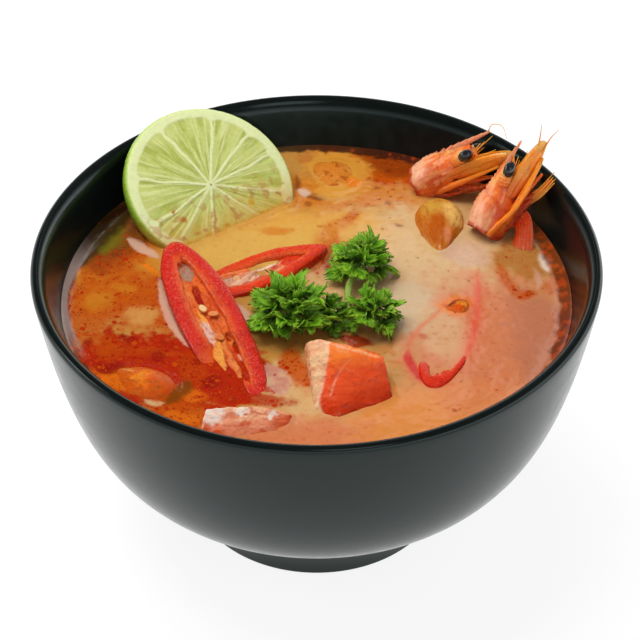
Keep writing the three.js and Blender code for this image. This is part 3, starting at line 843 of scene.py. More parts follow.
@dataclass(frozen=True)
class LimeSlice:
    """A round slice of lime that leans on the bowl's wall."""

    radius: float = 24.35
    thickness: float = 5.0
    centre: tuple = (-29.2, 40.7, 75.45)
    tilt: float = 30.5
    azimuth: float = -55.0
    membranes: tuple = (30, 62, 94, 119, 149, 193, 243, 283, 304, 333)
    stains: tuple = ((3.2, -13.9, 0.7), (6.6, -12.3, 1.3), (8.8, 8.1, 1.6), (13.5, 9.0, 1.4))
    columns: int = 432
    rings: int = 84

    @property
    def pose(self) -> Pose:
        """Where the slice is, its cut face on its own XY plane."""
        return Pose.leaning(self.centre, self.tilt, self.azimuth)

    def outline(self) -> Array:
        """Radius and height down from the middle of the cut face, round the rind and back under.

        Returns:
            Rows of radius and height.
        """
        r, t = self.radius, self.thickness
        top = np.stack([np.linspace(0.3, 0.945 * r, self.rings), np.zeros(self.rings)], -1)
        shoulder = bezier((0.945 * r, 0), (0.975 * r, 0), (0.99 * r, -0.1 * t), (r, -0.42 * t), 12)[1:]
        heel = bezier((r, -0.42 * t), (r, -0.75 * t), (0.98 * r, -t), (0.92 * r, -t), 12)[1:]
        under = np.stack([np.linspace(0.9 * r, 0.3, 24), np.full(24, -t)], -1)
        return np.vstack([top, shoulder, heel, under])

    def build(self) -> None:
        """Makes the slice: dipped segments, vesicles that point at the core, pith and rind."""
        outline = self.outline()
        flat = revolve(outline, self.columns)
        r, angle = np.hypot(flat[..., 0], flat[..., 1]), np.arctan2(flat[..., 1], flat[..., 0])
        face = ease(np.arange(len(outline)), self.rings + 3, self.rings - 1)[:, None] + 0 * r
        wander = 0.05 * swell(flat, 6, 5)
        off = angle[..., None] + wander[..., None] - np.radians(np.array(self.membranes))
        off = np.abs((off + np.pi) % (2 * np.pi) - np.pi)
        gap = (r[..., None] * np.sin(np.minimum(off, np.pi / 2))).min(-1)
        edge = 0.875 * self.radius - 1.5 * np.exp(-gap / 1.1) + 0.25 * swell(flat, 3, 8)
        pulp = ease(gap, 0.16, 0.62) * ease(edge - r, -0.1, 0.7) * ease(r, 0.8, 1.8) * face
        sacs = cloud(np.stack([angle * 11.5 + 0.6 * swell(flat, 5, 3), r / 6.5, 0 * r], -1), 1.0, 21, 3)
        threads = cloud(np.stack([angle * 34, r / 9, 0 * r + 3], -1), 1.0, 33, 2)
        height = -0.22 * pulp + 0.3 * pulp * (sacs - 0.5) + 0.2 * pulp * (threads - 0.5)
        pits = -0.1 * ease(cloud(flat, 1.1, 71, 2), 0.55, 0.75) * (1 - face)
        rind = ease(r, 0.955 * self.radius, 0.985 * self.radius)
        flat[..., 2] += height
        flat[..., :2] *= (1 + pits / self.radius)[..., None]
        tone = self._stained(self._fresh(flat, r, pulp, sacs, threads, rind), flat, face)
        finish = CitrusFlesh().make()
        install_tube("lime_round", self.pose.carry(flat), finish, "lime", "lime_slice", tone=tone, rind=rind)

    def _fresh(self, flat: Array, r: Array, pulp: Array, sacs: Array, threads: Array, rind: Array) -> Array:
        """The colour of each point of a dry slice, from the core's pale membranes to the green rind.

        Args:
            flat: the slice's points in its own frame.
            r: their distance from the core.
            pulp: how much each is pulp.
            sacs: the vesicles' noise.
            threads: the finer noise along them.
            rind: how much each is rind.

        Returns:
            A colour for each point.
        """
        deep, clear, pale = paints((172, 182, 86), (198, 206, 122), (220, 225, 160))
        pith, zest, green = paints((222, 229, 172), (168, 200, 62), (116, 160, 24))
        juice = lay(deep, clear, ease(sacs, 0.25, 0.62))
        juice = lay(juice, pale, 0.75 * ease(threads, 0.52, 0.8))
        tone = lay(lay(pith, juice, pulp), zest, rind * 0.9)
        side = ease(-flat[..., 2], 0.15, 2.2) * ease(r, 0.9 * self.radius, 0.97 * self.radius)
        return lay(tone, green, side * (0.6 + 0.4 * cloud(flat, 4, 9)))

    def _stained(self, tone: Array, flat: Array, face: Array) -> Array:
        """The tone under the oil's spots and drips and the broth that wets the low side.

        Args:
            tone: a colour for each point.
            flat: the slice's points in its own frame.
            face: how much each lies on the cut face.

        Returns:
            The stained colours.
        """
        dye, gold, broth = paints((170, 78, 14), (196, 160, 30), (212, 150, 44))
        for k, (x, y, size) in enumerate(self.stains):
            gap = np.hypot(flat[..., 0] - x, flat[..., 1] - y) + 0.8 * swell(flat, 1.2, 40 + k)
            tone = lay(tone, dye if k < 2 else gold, 0.85 * ease(gap, size, 0.3 * size))
        level = self.pose.carry(flat)[..., 2] - SOUP_LEVEL
        tone = lay(tone, broth, 0.55 * ease(level + 1.8 * swell(flat, 3.5, 60), 6.5, 0.0))
        drips = ease(cloud(flat, 1.9, 64, 3), 0.58, 0.68) * ease(level, 9, 2) * face
        tone = lay(tone, dye, 0.5 * drips)
        return lay(tone, broth, 0.85 * ease(level + 0.5 * swell(flat, 1.5, 66), 1.2, 0.0))


# -------------------------------------------------------------------- chilli


@dataclass(frozen=True)
class Dent:
    """A hollow in a ring's lining, or a bump where its depth is below nought, and its tone."""

    x: float
    y: float
    length: float
    width: float
    turn: float
    depth: float
    tone: Colour


def rounded(wave: Array, power: float) -> Array:
    """A wave made squarer: sign(w) · |w|ᵖ."""
    return np.sign(wave) * np.abs(wave) ** power


@dataclass(frozen=True)
class ChilliRing:
    """An oblique slice of a hollow red chilli: a long ring of wall with flesh and seeds inside."""

    node: str
    start: tuple
    end: tuple
    width: float
    bow: float
    roll: float
    wall: float
    end_wall: float
    point: float = 0.0
    core: float | None = None
    seeds: tuple = ()
    seed: int = 1
    dents: tuple = ()
    flesh: Colour = paint(228, 104, 34)
    peel: tuple = (176, 18, 6)
    meat: tuple = (212, 40, 26)
    grain: float = 1.0
    brim: float = 0.0
    fade: float = 0.0
    fray: float = 0.0
    thickness: float = 4.0
    sag: float = 0.8

    @property
    def half(self) -> float:
        """Half of the ring's length."""
        return float(np.linalg.norm(np.subtract(self.end, self.start))) / 2

    def _around(self, angle: Array, reach: float) -> Array:
        """Points of a circle, for noise that closes on itself."""
        return np.stack([reach * np.cos(angle), reach * np.sin(angle), 0 * angle], -1)

    def _outline(self, angle: Array, length: float, width: float) -> tuple[Array, Array]:
        """(length cos a, width sin a (1 − point · max(0, cos a)²)(1 + noise) + bow sin² a).

        Args:
            angle: places round the ring.
            length: half of the long way.
            width: half of the short way.

        Returns:
            X and Y of each place.
        """
        taper = 1 - self.point * np.maximum(0, np.cos(angle)) ** 2
        taper = taper * (1 + 0.07 * swell(self._around(angle, 9), 4.5, self.seed + 60, 2))
        return length * np.cos(angle), width * np.sin(angle) * taper + self.bow * np.sin(angle) ** 2

    def ring(self) -> tuple[Array, Array, Array]:
        """The wall's points, how much each is cut flesh, and how much it is inner flesh.

        Between a quarter and a half turn the wall may be frayed: sunk and orange.

        Returns:
            The points, the share of cut flesh and the share of inner flesh.
        """
        angle, turn = turns(300)[:, None], turns(48)[None]
        inward = 0.5 - 0.5 * rounded(np.cos(turn), 0.7)
        frayed = self.fray * ease(angle, 1.75, 2.15) * ease(angle, 3.05, 2.75)
        outer_x, outer_y = self._outline(angle, self.half, self.width / 2)
        inner_x, inner_y = self._outline(angle, self.half - self.end_wall, self.width / 2 - self.wall)
        inner_scale = 1 + 0.16 * swell(self._around(angle, 8), 2.6, self.seed)
        x = mix(outer_x, inner_x * inner_scale, inward)
        y = mix(outer_y, inner_y * inner_scale, inward)
        z = rounded(np.sin(turn), 0.5) * self.thickness / 2 - self.sag * (x / self.half) ** 2
        points = np.stack([x, y, z], -1)
        points[..., 2] += 0.22 * swell(points, 2.4, self.seed + 5)
        low = np.where(y < 0, -0.62, -0.86) * self.half
        high = np.where(y < 0, 0.05, -0.45) * self.half
        points[..., 2] += self.brim * ease(x, 0, -0.8 * self.half) - 1.5 * frayed
        points[..., 2] -= self.fade * ease((x - low) / (high - low), 0, 1)
        cut = ease(np.sin(turn), 0.2, 0.6) * (1 - 0.5 * frayed)
        return points, cut, np.maximum(ease(-np.cos(turn), -0.1, 0.75), frayed)

    def lining(self) -> tuple[Array, Array]:
        """The flesh across the hollow: a low wavy floor with its dents, closed underneath, and its tone.

        Returns:
            The points and a colour for each.
        """
        angle, floor_rows = turns(220)[None], 84
        reach = np.concatenate([np.linspace(0.01, 1, floor_rows), np.linspace(0.97, 0.01, 8)])[:, None]
        x, y = self._outline(angle, self.half - self.end_wall + 2.2, self.width / 2 - self.wall + 1.2)
        x, y = reach * x, reach * y
        flat = np.stack([x, y, 0 * x], -1)
        pale = ease(cloud(flat * (0.5, 1, 1), 2.4, self.seed + 31), 0.48, 0.7)
        dark = ease(cloud(flat * (0.4, 1, 1), 3.0, self.seed + 37), 0.54, 0.7)
        tone = lay(self.flesh, paint(240, 152, 82), 0.7 * pale)
        tone = lay(tone, paint(196, 44, 14), 0.75 * dark)
        z = 0.3 + 0.55 * swell(flat * (0.6, 1, 1), 2.6, self.seed + 41) - self.sag * (x / self.half) ** 2
        for k, dent in enumerate(self.dents):
            q = oval(x - dent.x, y - dent.y, dent.length, dent.width, dent.turn)
            share = ease(q + 0.3 * swell(flat, 1.3, self.seed + 50 + k), 1.15, 0.75)
            z = z - dent.depth * share
            tone = lay(tone, dent.tone, share)
        z = z + 2.4 * self.brim * ease(x, 0.2 * self.half, -0.6 * self.half)
        z[floor_rows:] = z[floor_rows - 1] - 0.7
        return np.stack([x, y, z - self.fade], -1), tone

    def strip(self) -> tuple[Array, Array]:
        """The lumpy seed strip's points and its tone, paler at its crest.

        Returns:
            The points and a colour for each.
        """
        share = np.linspace(0, 1, 70)
        x = mix(-0.85 * self.half, self.core * self.half, share)
        path = np.stack([x, 0.8 * np.sin(5 * share), 0 * share - 0.1], -1)
        points = sweep(path, 1.4 * (1 - 0.6 * share**2), 20, flat=0.62)
        points += 0.9 * (cloud(points, 1.7, self.seed + 11) - 0.5)[..., None] * unit(points - path[:, None])
        return points, lay(paint(214, 84, 24), paint(240, 150, 72), ease(points[..., 2], 0.2, 1.2))

    def build(self) -> None:
        """Makes the wall, the lining, the strip and the seeds, each a piece of its own."""
        pose = Pose.along(self.start, self.end, UP, 0.5, self.roll)
        points, cut, hollow = self.ring()
        skin, flesh, inner = paints(self.peel, self.meat, (232, 100, 32))
        tone = lay(lay(skin, flesh, cut), inner, hollow * 0.8)
        tone = lay(tone, skin, 0.4 * cut * ease(cloud(points, 3, self.seed + 3, 2), 0.5, 0.8))
        finish = ChilliFlesh().make()
        wall = Patchwork()
        wall.grid(pose.carry(points), rows_joined=True, columns_joined=True, tone=tone, cut=cut * self.grain)
        install(wall.build(self.node + "_wall"), finish, self.node)
        if self.dents:
            points, tone = self.lining()
            install_tube(self.node + "_lining", pose.carry(points), finish, "chilli", self.node, tone=tone, cut=0.4)
        if self.core is not None:
            points, tone = self.strip()
            install_tube(self.node + "_strip", pose.carry(points), finish, "chilli", self.node, tone=tone, cut=0.3)
        if self.seeds:
            self._scatter(pose)

    def _scatter(self, pose: Pose) -> None:
        """Flat pale seeds with a thicker rim.

        Args:
            pose: where the ring is.
        """
        work, ball = Patchwork(), globe(14, 28)
        rim = np.hypot(ball[..., 0], ball[..., 1])
        bean = np.stack([1.5 * ball[..., 0], 1.1 * ball[..., 1], (0.28 + 0.25 * rim**4) * ball[..., 2]], -1)
        for x, y, turn, pale in self.seeds:
            c, s = math.cos(turn), math.sin(turn)
            local = bean @ np.array([[c, s, 0.1], [-s, c, 0.15], [0, -0.1, 1]]) + (x, y, 1.35)
            coat = mix(paint(226, 110, 44), paint(244, 206, 150), pale)
            work.tube(pose.carry(local), tone=lay(coat, paint(222, 124, 56), ease(rim, 0.6, 1)))
        finish = ToneFlesh("chilli_seed_coat", Moist(glow=0.2, gloss=0.3), paint(214, 140, 60), 0.4).make()
        install(work.build(self.node + "_seeds"), finish, self.node)


# -------------------------------------------------------------------- salmon


def hull_faces(corners: Array) -> tuple[Array, Array, Array]:
    """The faces of the convex body through some corners.

    Args:
        corners: its corners, in millimetres.

    Returns:
        The middle, the faces' outward unit normals and their distances from the middle.
    """
    middle = corners.mean(0)
    own = corners - middle
    a, b, c = (own[list(k)] for k in zip(*itertools.combinations(range(len(own)), 3)))
    normals = unit(np.cross(b - a, c - a))
    reach = np.einsum("ij,ij->i", normals, a)
    normals, reach = normals * np.sign(reach)[:, None], np.abs(reach)
    outer = ((own @ normals.T) <= reach + 1e-6).all(0) & (reach > 1e-6)
    faces = np.unique(np.round(np.hstack([normals, reach[:, None]])[outer], 4), axis=0)
    return middle, faces[:, :3], faces[:, 3]


@dataclass(frozen=True)
class FishTones:
    """The colours of a chunk: high, middle and low on its front, its left side and its top. High, left and top are
    painted light; low is painted shade, and it also fills the cracks.
    """

    high: Colour
    middle: Colour
    low: Colour
    left: Colour
    top: Colour


@dataclass(frozen=True)
class FishChunk:
    """A chunk of salmon: a rounded convex body with ragged flakes."""

    node: str
    corners: tuple
    tones: FishTones
    line: tuple
    seed: int
    cracks: float = 0.45
    # painted highlights as x, y, z and size, and the line where the left face, painted lighter, begins
    painted_glints: tuple = ()
    lit_cheek: tuple = ()
    sharp: float = 24.0
    rows: int = 200
    columns: int = 300

    def build(self) -> None:
        """Makes the chunk: r = (Σ max(0, n·d / h)ᵖ)^(−1/p) over its faces, then flakes and grain."""
        middle, normals, reach = hull_faces(np.array(self.corners, float))
        direction = globe(self.rows, self.columns)
        weights = (np.maximum(0, direction @ normals.T) / reach) ** self.sharp
        points = middle + (weights.sum(-1) ** (-1 / self.sharp))[..., None] * direction
        normal = unit((weights / weights.sum(-1, keepdims=True)) @ normals)
        away = np.linalg.norm(points[..., None, :] - spline(self.line, 30), axis=-1).min(-1)
        seam = bump(away, 0, 0.32)
        fibres = swell(points * (0.35, 1, 0.7), 1.3, self.seed + 20)
        flakes = np.abs(swell(points * (0.5, 1, 0.8), 3.4, self.seed + 24, 4))
        ragged = 1 - weights.max(-1) / weights.sum(-1)
        lift = -0.12 * seam + 0.14 * fibres + 0.3 * flakes + 0.35 * swell(points, 4, self.seed + 30)
        lift = lift + 0.5 * ragged * swell(points, 1.1, self.seed + 33)
        tone = self._tone(points, normal, seam, fibres, flakes)
        wet = Moist(glow=0.2, depth=1.4, gloss=0.3, film=0.12, shine=0.25)
        finish = ToneFlesh("salmon_flesh", wet, self.tones.middle, 0.55, 0.16, 0.3).make()
        shape = points + normal * lift[..., None]
        install_tube(self.node + "_flesh", shape, finish, "salmon", self.node, tone=tone)

    def _tone(self, points: Array, normal: Array, seam: Array, fibres: Array, flakes: Array) -> Array:
        """Painted light by the way each face looks and higher up, painted shade towards the soup, painted highlights,
        pale fibres and ragged edges.

        Args:
            points: the chunk's points.
            normal: which way each looks.
            seam: how near each is to the flake line.
            fibres: the noise along the fibres.
            flakes: the noise between the flakes.

        Returns:
            A colour for each point.
        """
        tones, pale, height = self.tones, paint(250, 206, 172), points[..., 2]
        z, crown = height + 0.9 * fibres, height.max()
        # painted shade low down by the soup and painted light higher up
        tone = lay(tones.low, tones.middle, ease(z, SOUP_LEVEL + 0.6, mix(SOUP_LEVEL, crown, 0.42)))
        tone = lay(tone, tones.high, ease(z, mix(SOUP_LEVEL, crown, 0.5), crown - 1.0))
        # painted light: the top and the left faces paler
        tone = lay(tone, tones.top, ease(normal[..., 2], 0.9, 0.97))
        tone = lay(tone, tones.left, ease(-normal[..., 0], 0.3, 0.62))
        # painted light on the left face, with a painted highlight along its edge
        if self.lit_cheek:
            x, z = np.array(self.lit_cheek).T
            side = np.interp(height, z, x) + 0.3 * swell(points, 1.5, self.seed + 75) - points[..., 0]
            tone = lay(tone, tones.left, ease(side, -0.2, 0.5))
            tone = lay(tone, paint(255, 214, 178), 0.7 * bump(side, 0, 0.35))
        tone = lay(tone, pale, 0.4 * seam)
        tone = lay(tone, pale, 0.16 * ease(fibres, 0.15, 0.8))
        tone = lay(tone, tones.low, self.cracks * ease(flakes, 0.16, 0.02))
        # painted highlights: white spots
        for *place, size in self.painted_glints:
            gap = np.linalg.norm(points - place, axis=-1) + 1.6 * swell(points, 1.3, self.seed + 70)
            tone = lay(tone, paint(250, 240, 226), 0.8 * ease(gap, size, 0.5 * size))
        # a painted highlight along the crown
        ridge = bump(height, crown, 1.1) * ease(swell(points, 1.4, self.seed + 71), -0.3, 0.5)
        return lay(tone, pale, 0.5 * ridge)


# ------------------------------------------------- shellfish meat and mushroom


@dataclass(frozen=True)
class MeatTones:
    """The colours of a lump of meat: its body, its paler side, its dark streak, also the painted shade at one end, and
    where it meets the soup.
    """

    body: Colour
    pale: Colour
    dark: Colour
    shore: Colour


@dataclass(frozen=True)
class MusselMeat:
    """A lump of mussel meat: a teardrop with soft lengthwise ridges."""

    node: str
    start: tuple
    end: tuple
    width: float
    height: float
    ridges: float
    seed: int
    tones: MeatTones
    streak: tuple = (0.0, 0.6)
    taper: float = 0.32
    stripes: float = 1.0
    # painted shade towards the lump's far end
    shaded_end: float = 0.0
    blots: tuple = ()
    shore: float = 1.1

    def build(self) -> None:
        """Makes the lump from x = ½L b, y = ½W n r b, z = ½H n r b over a ball's directions."""
        ball = globe(150, 220)[..., [2, 0, 1]]
        around = np.arctan2(ball[..., 1], ball[..., 2])
        wander = 0.5 * swell(ball, 0.7, self.seed)
        ridge = np.cos(self.ridges * 2 * around + 2 * wander)
        girth = 1 + 0.06 * self.stripes * ridge + 0.09 * swell(ball, 0.45, self.seed + 3)
        girth = (1 + self.taper * ball[..., 0]) * girth
        length = float(np.linalg.norm(np.subtract(self.end, self.start))) + 1
        half = np.array([length, self.width, self.height]) / 2
        points = ball * half * np.stack([1 + 0.04 * wander, girth, girth], -1)
        placed = Pose.along(self.start, self.end, UP, 0.5).carry(points)
        tone = self._tone(ball, around, wander, ridge, placed)
        wet = Moist(glow=0.3, depth=1.5, gloss=0.26, film=0.08, shine=0.25)
        finish = ToneFlesh(self.node + "_meat", wet, self.tones.dark, 0.45).make()
        install_tube(self.node + "_lump", placed, finish, "mussel", self.node, tone=tone)

    def _tone(self, ball: Array, around: Array, wander: Array, ridge: Array, placed: Array) -> Array:
        """Pale ridges, blots, dots and a dark streak, painted shade towards the far end, and the broth's colour at the
        shore.

        Args:
            ball: the unit directions that the lump was made from.
            around: their angle about the length.
            wander: the noise that bends the ridges.
            ridge: the ridges' wave.
            placed: the points in the bowl's frame.

        Returns:
            A colour for each point.
        """
        tones, seed, along, across = self.tones, self.seed, ball[..., 0], ball[..., 1]
        shade = (4.5 - 3.3 * self.stripes) * (cloud(ball, 0.5, seed + 7) - 0.5)
        tone = lay(tones.body, tones.pale, ease(self.stripes * ridge + shade, 0.0, 1.0))
        for colour, x, y, reach in self.blots:
            gap = np.hypot(along - x + 0.2 * wander, across - y + 0.15 * swell(ball, 0.3, seed + 5))
            tone = lay(tone, colour, 0.9 * ease(gap, 1.3 * reach, 0.5 * reach))
        tone = lay(tone, tones.dark, 0.6 * ease(cloud(ball, 0.13, seed + 11, 2), 0.62, 0.74))
        band = self.stripes * np.exp(-(((around - self.streak[0] + 0.5 * wander) / self.streak[1]) ** 2))
        # painted shade: the dark colour spread towards the far end
        band = np.maximum(band, self.shaded_end * ease(along + 0.3 * wander, 0.2, 0.6))
        tone = lay(tone, tones.dark, 0.8 * band)
        level, shore = placed[..., 2] + 1.1 * swell(placed, 1.6, seed + 9), SOUP_LEVEL + self.shore
        return lay(tone, tones.shore, 0.8 * ease(level, shore, shore - 1.1))


@dataclass(frozen=True)
class MushroomCap:
    """A mushroom's cap just under the surface, its lip rolled out."""

    centre: tuple = (4.3, 54.4, 62.6)
    radius: float = 9.4
    height: float = 6.6
    tilt: float = 9.0
    azimuth: float = -98.0

    def build(self) -> None:
        """Makes the cap from a turned outline, dented and mottled."""
        r, h = self.radius, self.height
        dome = bezier((0.2, h), (0.6 * r, h), (1.02 * r, 0.75 * h), (r, 0.12 * h), 60)
        under = bezier((r, 0.12 * h), (0.99 * r, -0.1 * h), (0.8 * r, -0.05 * h), (0.2, 0.2 * h), 30)[1:]
        points = revolve(np.vstack([dome, under]), 180)
        points *= (1 + 0.05 * swell(points, 5, 3))[..., None]
        points[..., 2] += 0.35 * swell(points, 2.2, 9)
        pale, gold, rust = paints((226, 156, 70), (218, 132, 40), (176, 74, 10))
        tone = lay(gold, pale, ease(cloud(points, 4, 5), 0.5, 0.7))
        tone = lay(tone, rust, 0.8 * ease(cloud(points, 1.6, 8), 0.56, 0.72))
        placed = Pose.leaning(self.centre, self.tilt, self.azimuth).carry(points)
        wet = Moist(glow=0.2, gloss=0.18, film=0.3)
        finish = ToneFlesh("mushroom_flesh", wet, paint(206, 108, 24), 0.5, 0.1).make()
        install_tube("mushroom_dome", placed, finish, "mushroom", "mushroom_cap", tone=tone)


# --------------------------------------------------------------------- prawn


@dataclass(frozen=True)
class PrawnHead:
    """A cooked prawn's head: shell, toothed spine, eyes, blades, limbs and feelers."""

    node: str
    cut: tuple
    eyes: tuple
    dorsal: tuple
    rise: float
    legs: bool
    seed: int
    length: float = 20.0
    half_height: float = 5.9
    half_width: float = 4.7
    rear_slant: float = 0.5

    @property
    def pose(self) -> Pose:
        """+X runs from the cut to the eyes and +Z is the back."""
        return Pose.along(self.cut, self.eyes, self.dorsal, 0.0)

    def shell(self) -> tuple[Array, Array]:
        """Egg-shaped sections with a keeled back and a neck groove, and their tone.

        Returns:
            The points and a colour for each.
        """
        share, angle = np.linspace(0, 1, 120)[:, None], turns(96)[None]
        back = np.cos(angle)
        taper = (0.86 + 0.14 * np.sin(np.pi * np.minimum(1, 1.6 * share))) * (1 - 0.62 * share**2.2)
        groove = bump(share - 0.46, 0.09 * back, 0.03)
        plump = taper * (1 - 0.055 * groove)
        x = self.length * share + self.rear_slant * back * (1 - share)
        y = self.half_width * plump * np.sin(angle) * (1 - 0.35 * np.maximum(0, back) ** 2)
        z = self.half_height * plump * back + 0.6 * share**2
        points = np.stack([x + 0 * y, y, z], -1)
        lumps = swell(points, 2.2, self.seed)
        creases = swell(points * (0.3, 1, 1), 0.9, self.seed + 2)
        points[..., 1:] *= (1 + 0.035 * lumps + 0.022 * creases)[..., None]
        points[..., 0] -= 0.9 * (1 - share) ** 8 * swell(points * (0, 1, 1), 1.3, self.seed + 6)
        crest = ease(back, 0.88, 1.0) * ease(share, 0.15, 0.35)
        points[..., 2] += 0.3 * crest * ((share * 15) % 1) ** 2
        return points, self._tone(points, share, back, groove, lumps)

    def _tone(self, points: Array, share: Array, back: Array, groove: Array, lumps: Array) -> Array:
        """Pink to orange in streaks, gold near the cut with a pale painted sheen there on the upper side, rusty spots
        and a red cut edge.

        Args:
            points: the shell's points in its own frame.
            share: how far each section is from the cut.
            back: 1 on the back and −1 on the belly.
            groove: how near each point is to the neck groove.
            lumps: the coarse noise of the shell.

        Returns:
            A colour for each point.
        """
        streaks = cloud(points * (0.25, 1, 1), 0.9, self.seed + 4)
        pink, orange, rust = paints((250, 166, 112), (238, 110, 38), (200, 62, 6))
        tone = lay(pink, orange, ease(streaks + 0.16 * share - 0.035 * points[..., 2], 0.38, 0.62))
        spot = np.exp(-(((share - 0.34) / 0.15) ** 2) - ((back + 0.25) / 0.4) ** 2)
        tone = lay(tone, rust, 0.85 * spot * ease(streaks, 0.2, 0.5))
        gold = ease(cloud(points * (0.4, 1, 1), 1.4, self.seed + 8), 0.55, 0.7) * ease(share, 0.0, 0.3)
        tone = lay(tone, paint(244, 190, 96), 0.6 * gold)
        freckles = ease(cloud(points * (0.4, 1, 1), 1.5, self.seed + 9), 0.57, 0.72)
        tone = lay(tone, rust, (0.5 * freckles + 0.3 * groove).clip(0, 1))
        # painted highlight: a pale sheen near the cut on the upper side
        painted_sheen = ease(share + 0.12 * lumps, 0.5, 0.1) * ease(back, -0.4, 0.5)
        tone = lay(tone, paint(255, 206, 172), 0.5 * painted_sheen)
        rim = ease(share + 0.02 * lumps, 0.07 + 0.06 * ease(-back, -0.2, 0.6), 0.02)
        return lay(tone, paint(182, 28, 4), 0.9 * rim)

    def spine(self) -> Array:
        """The rostrum: a thin blade under a toothed edge, ring by ring along X.

        Returns:
            Rings × sides × 3 points in the head's own frame.
        """
        share, angle = np.linspace(0, 1, 160), turns(12)
        tooth, arch = (share * 9) % 1, np.sin(np.pi * share)
        teeth = (0.15 + 0.7 * ease(share, 0.6, 0.2)) * tooth**2
        top = mix(4.9, self.rise + 0.2, share) + 0.5 * arch + teeth
        low = mix(3.1, self.rise - 0.3, share) - 0.15 * arch
        x = mix(5.0, 27.0, share) + 0.4 * tooth
        middle, half = (top + low) / 2, (top - low) / 2 * (1 - ease(share, 0.97, 1.0) * 0.9)
        thick = 0.62 * (1 - 0.75 * share)
        y = thick[:, None] * np.sin(angle) * (1 - 0.6 * np.maximum(0, np.cos(angle)))
        z = middle[:, None] + half[:, None] * np.cos(angle)
        return np.stack([x[:, None] + 0 * z, y, z], -1)

    def blade(self, side: int) -> Array:
        """The broad scale beside the feelers: a thin leaf with a raised middle rib.

        Args:
            side: 1 for the head's +Y side, −1 for the other.

        Returns:
            A grid of points in the head's own frame.
        """
        u, v = np.linspace(0, 1, 60)[:, None], np.linspace(-1, 1, 25)[None]
        width = 4.8 * np.sin(np.pi * (0.14 + 0.78 * u)) ** 0.7
        rib = 0.35 * bump(v, 0, 0.14) * (1 - u)
        x = 12 + 17.5 * u - 0.5 * u * v**2
        y = v * width * 0.5 - side * 3 * u
        z = 0.5 * v**2 + rib + 0.06 * np.sin(26 * v + 3 * u)
        turn = side * math.radians(66)
        c, s = math.cos(turn), math.sin(turn)
        return np.stack([x + 0 * v, c * y - s * z + side * 2.8, s * y + c * z - 2.6], -1)

    def build(self) -> None:
        """Makes every part of the head."""
        points, tone = self.shell()
        work = Patchwork()
        work.tube(self.pose.carry(points), tone=tone)
        spine = self.spine()
        tone = lay(paint(232, 150, 104), paint(226, 108, 58), ease(spine[..., 2], 3, 6))
        work.tube(self.pose.carry(spine), tone=tone)
        glossy = Moist(glow=0.3, depth=1.2, gloss=0.24, film=0.25)
        finish = ToneFlesh("prawn_shell", glossy, paint(226, 92, 34), 0.45).make()
        install(work.build(self.node + "_shell"), finish, self.node)
        self._limbs()
        self._eyes()

    def _limbs(self) -> None:
        """Blades, feeding limbs, walking legs and feelers as one piece; the left head's walking legs are painted dark
        as shade.
        """
        clear = Moist(glow=0.6, depth=2.0, spread=(1.0, 0.45, 0.15), gloss=0.22, film=0.2)
        finish = ToneFlesh("prawn_limb", clear, paint(248, 120, 30), 0.3, 0.06).make()
        pose, work, draw = self.pose, Patchwork(), np.random.default_rng(self.seed)
        amber, orange, red, pale = paints((255, 154, 40), (250, 112, 28), (214, 48, 8), (255, 200, 110))

        def limb(points: Array, start: float, end: float, first: Colour, last: Colour, sides: int = 8) -> None:
            """A tapering limb with swollen joints.

            Args:
                points: the middle line's places.
                start, end: the radius at either end.
                first, last: the colour at either end.
                sides: points in a ring.
            """
            share = np.linspace(0, 1, 40)
            radii = mix(start, end, share) * (1 + 0.12 * np.sin(18 * share) ** 4)
            rings = sweep(spline(points, 40), radii, sides, up=(0.3, 0.9, 0.3))
            work.tube(pose.carry(rings), tone=mix(first, last, share[:, None, None] * np.ones((1, sides, 1))))

        for side in (-1, 1):
            leaf = self.blade(side)
            thick = 0.28 * np.array([0, -math.sin(side * 1.15), math.cos(side * 1.15)])
            shell = np.concatenate([leaf + thick, (leaf - thick)[:, ::-1]], 1)
            share = np.linspace(0, 1, 60)[:, None, None]
            veins = 0.5 * swell(shell * (0.3, 1, 1), 0.7, self.seed + 13)[..., None]
            tone = mix(orange, amber, np.clip(ease(share, 0.05, 0.45) + 0.6 * veins, 0, 1))
            tone = mix(tone, pale, np.clip(0.7 * ease(share, 0.75, 1.0) + 0.4 * veins, 0, 1))
            work.tube(pose.carry(shell), tone=tone)
            limb([[5, side * 1.6, -4.4], [14, side * 2.2, -5.4], [25, side * 1.4, -6.6]], 1.3, 0.35, orange, amber)
            limb([[8, side * 0.8, -4.6], [16, side * 1.2, -6.6], [21, side * 0.6, -8.2]], 1.1, 0.3, red, orange)
            limb([[14.5, side * 1.6, 0.4], [17, side * 2.6, 0.7], [19.2, side * 3.5, 0.6]], 1.9, 1.4, orange, pale, 16)
            for k in range(7):
                spread = draw.uniform(-1, 1, 3)
                tip = [24 + 2.5 * spread[0], side * (1.2 + 0.3 * k) + spread[1], 1.0 - 1.1 * k + 1.5 * spread[2]]
                root = [15, side * 1.0, -0.4 - 0.3 * k]
                limb([root, [19.5, side * 1.8, 0.2 - 0.7 * k], tip], 0.42, 0.06, orange, amber, 6)
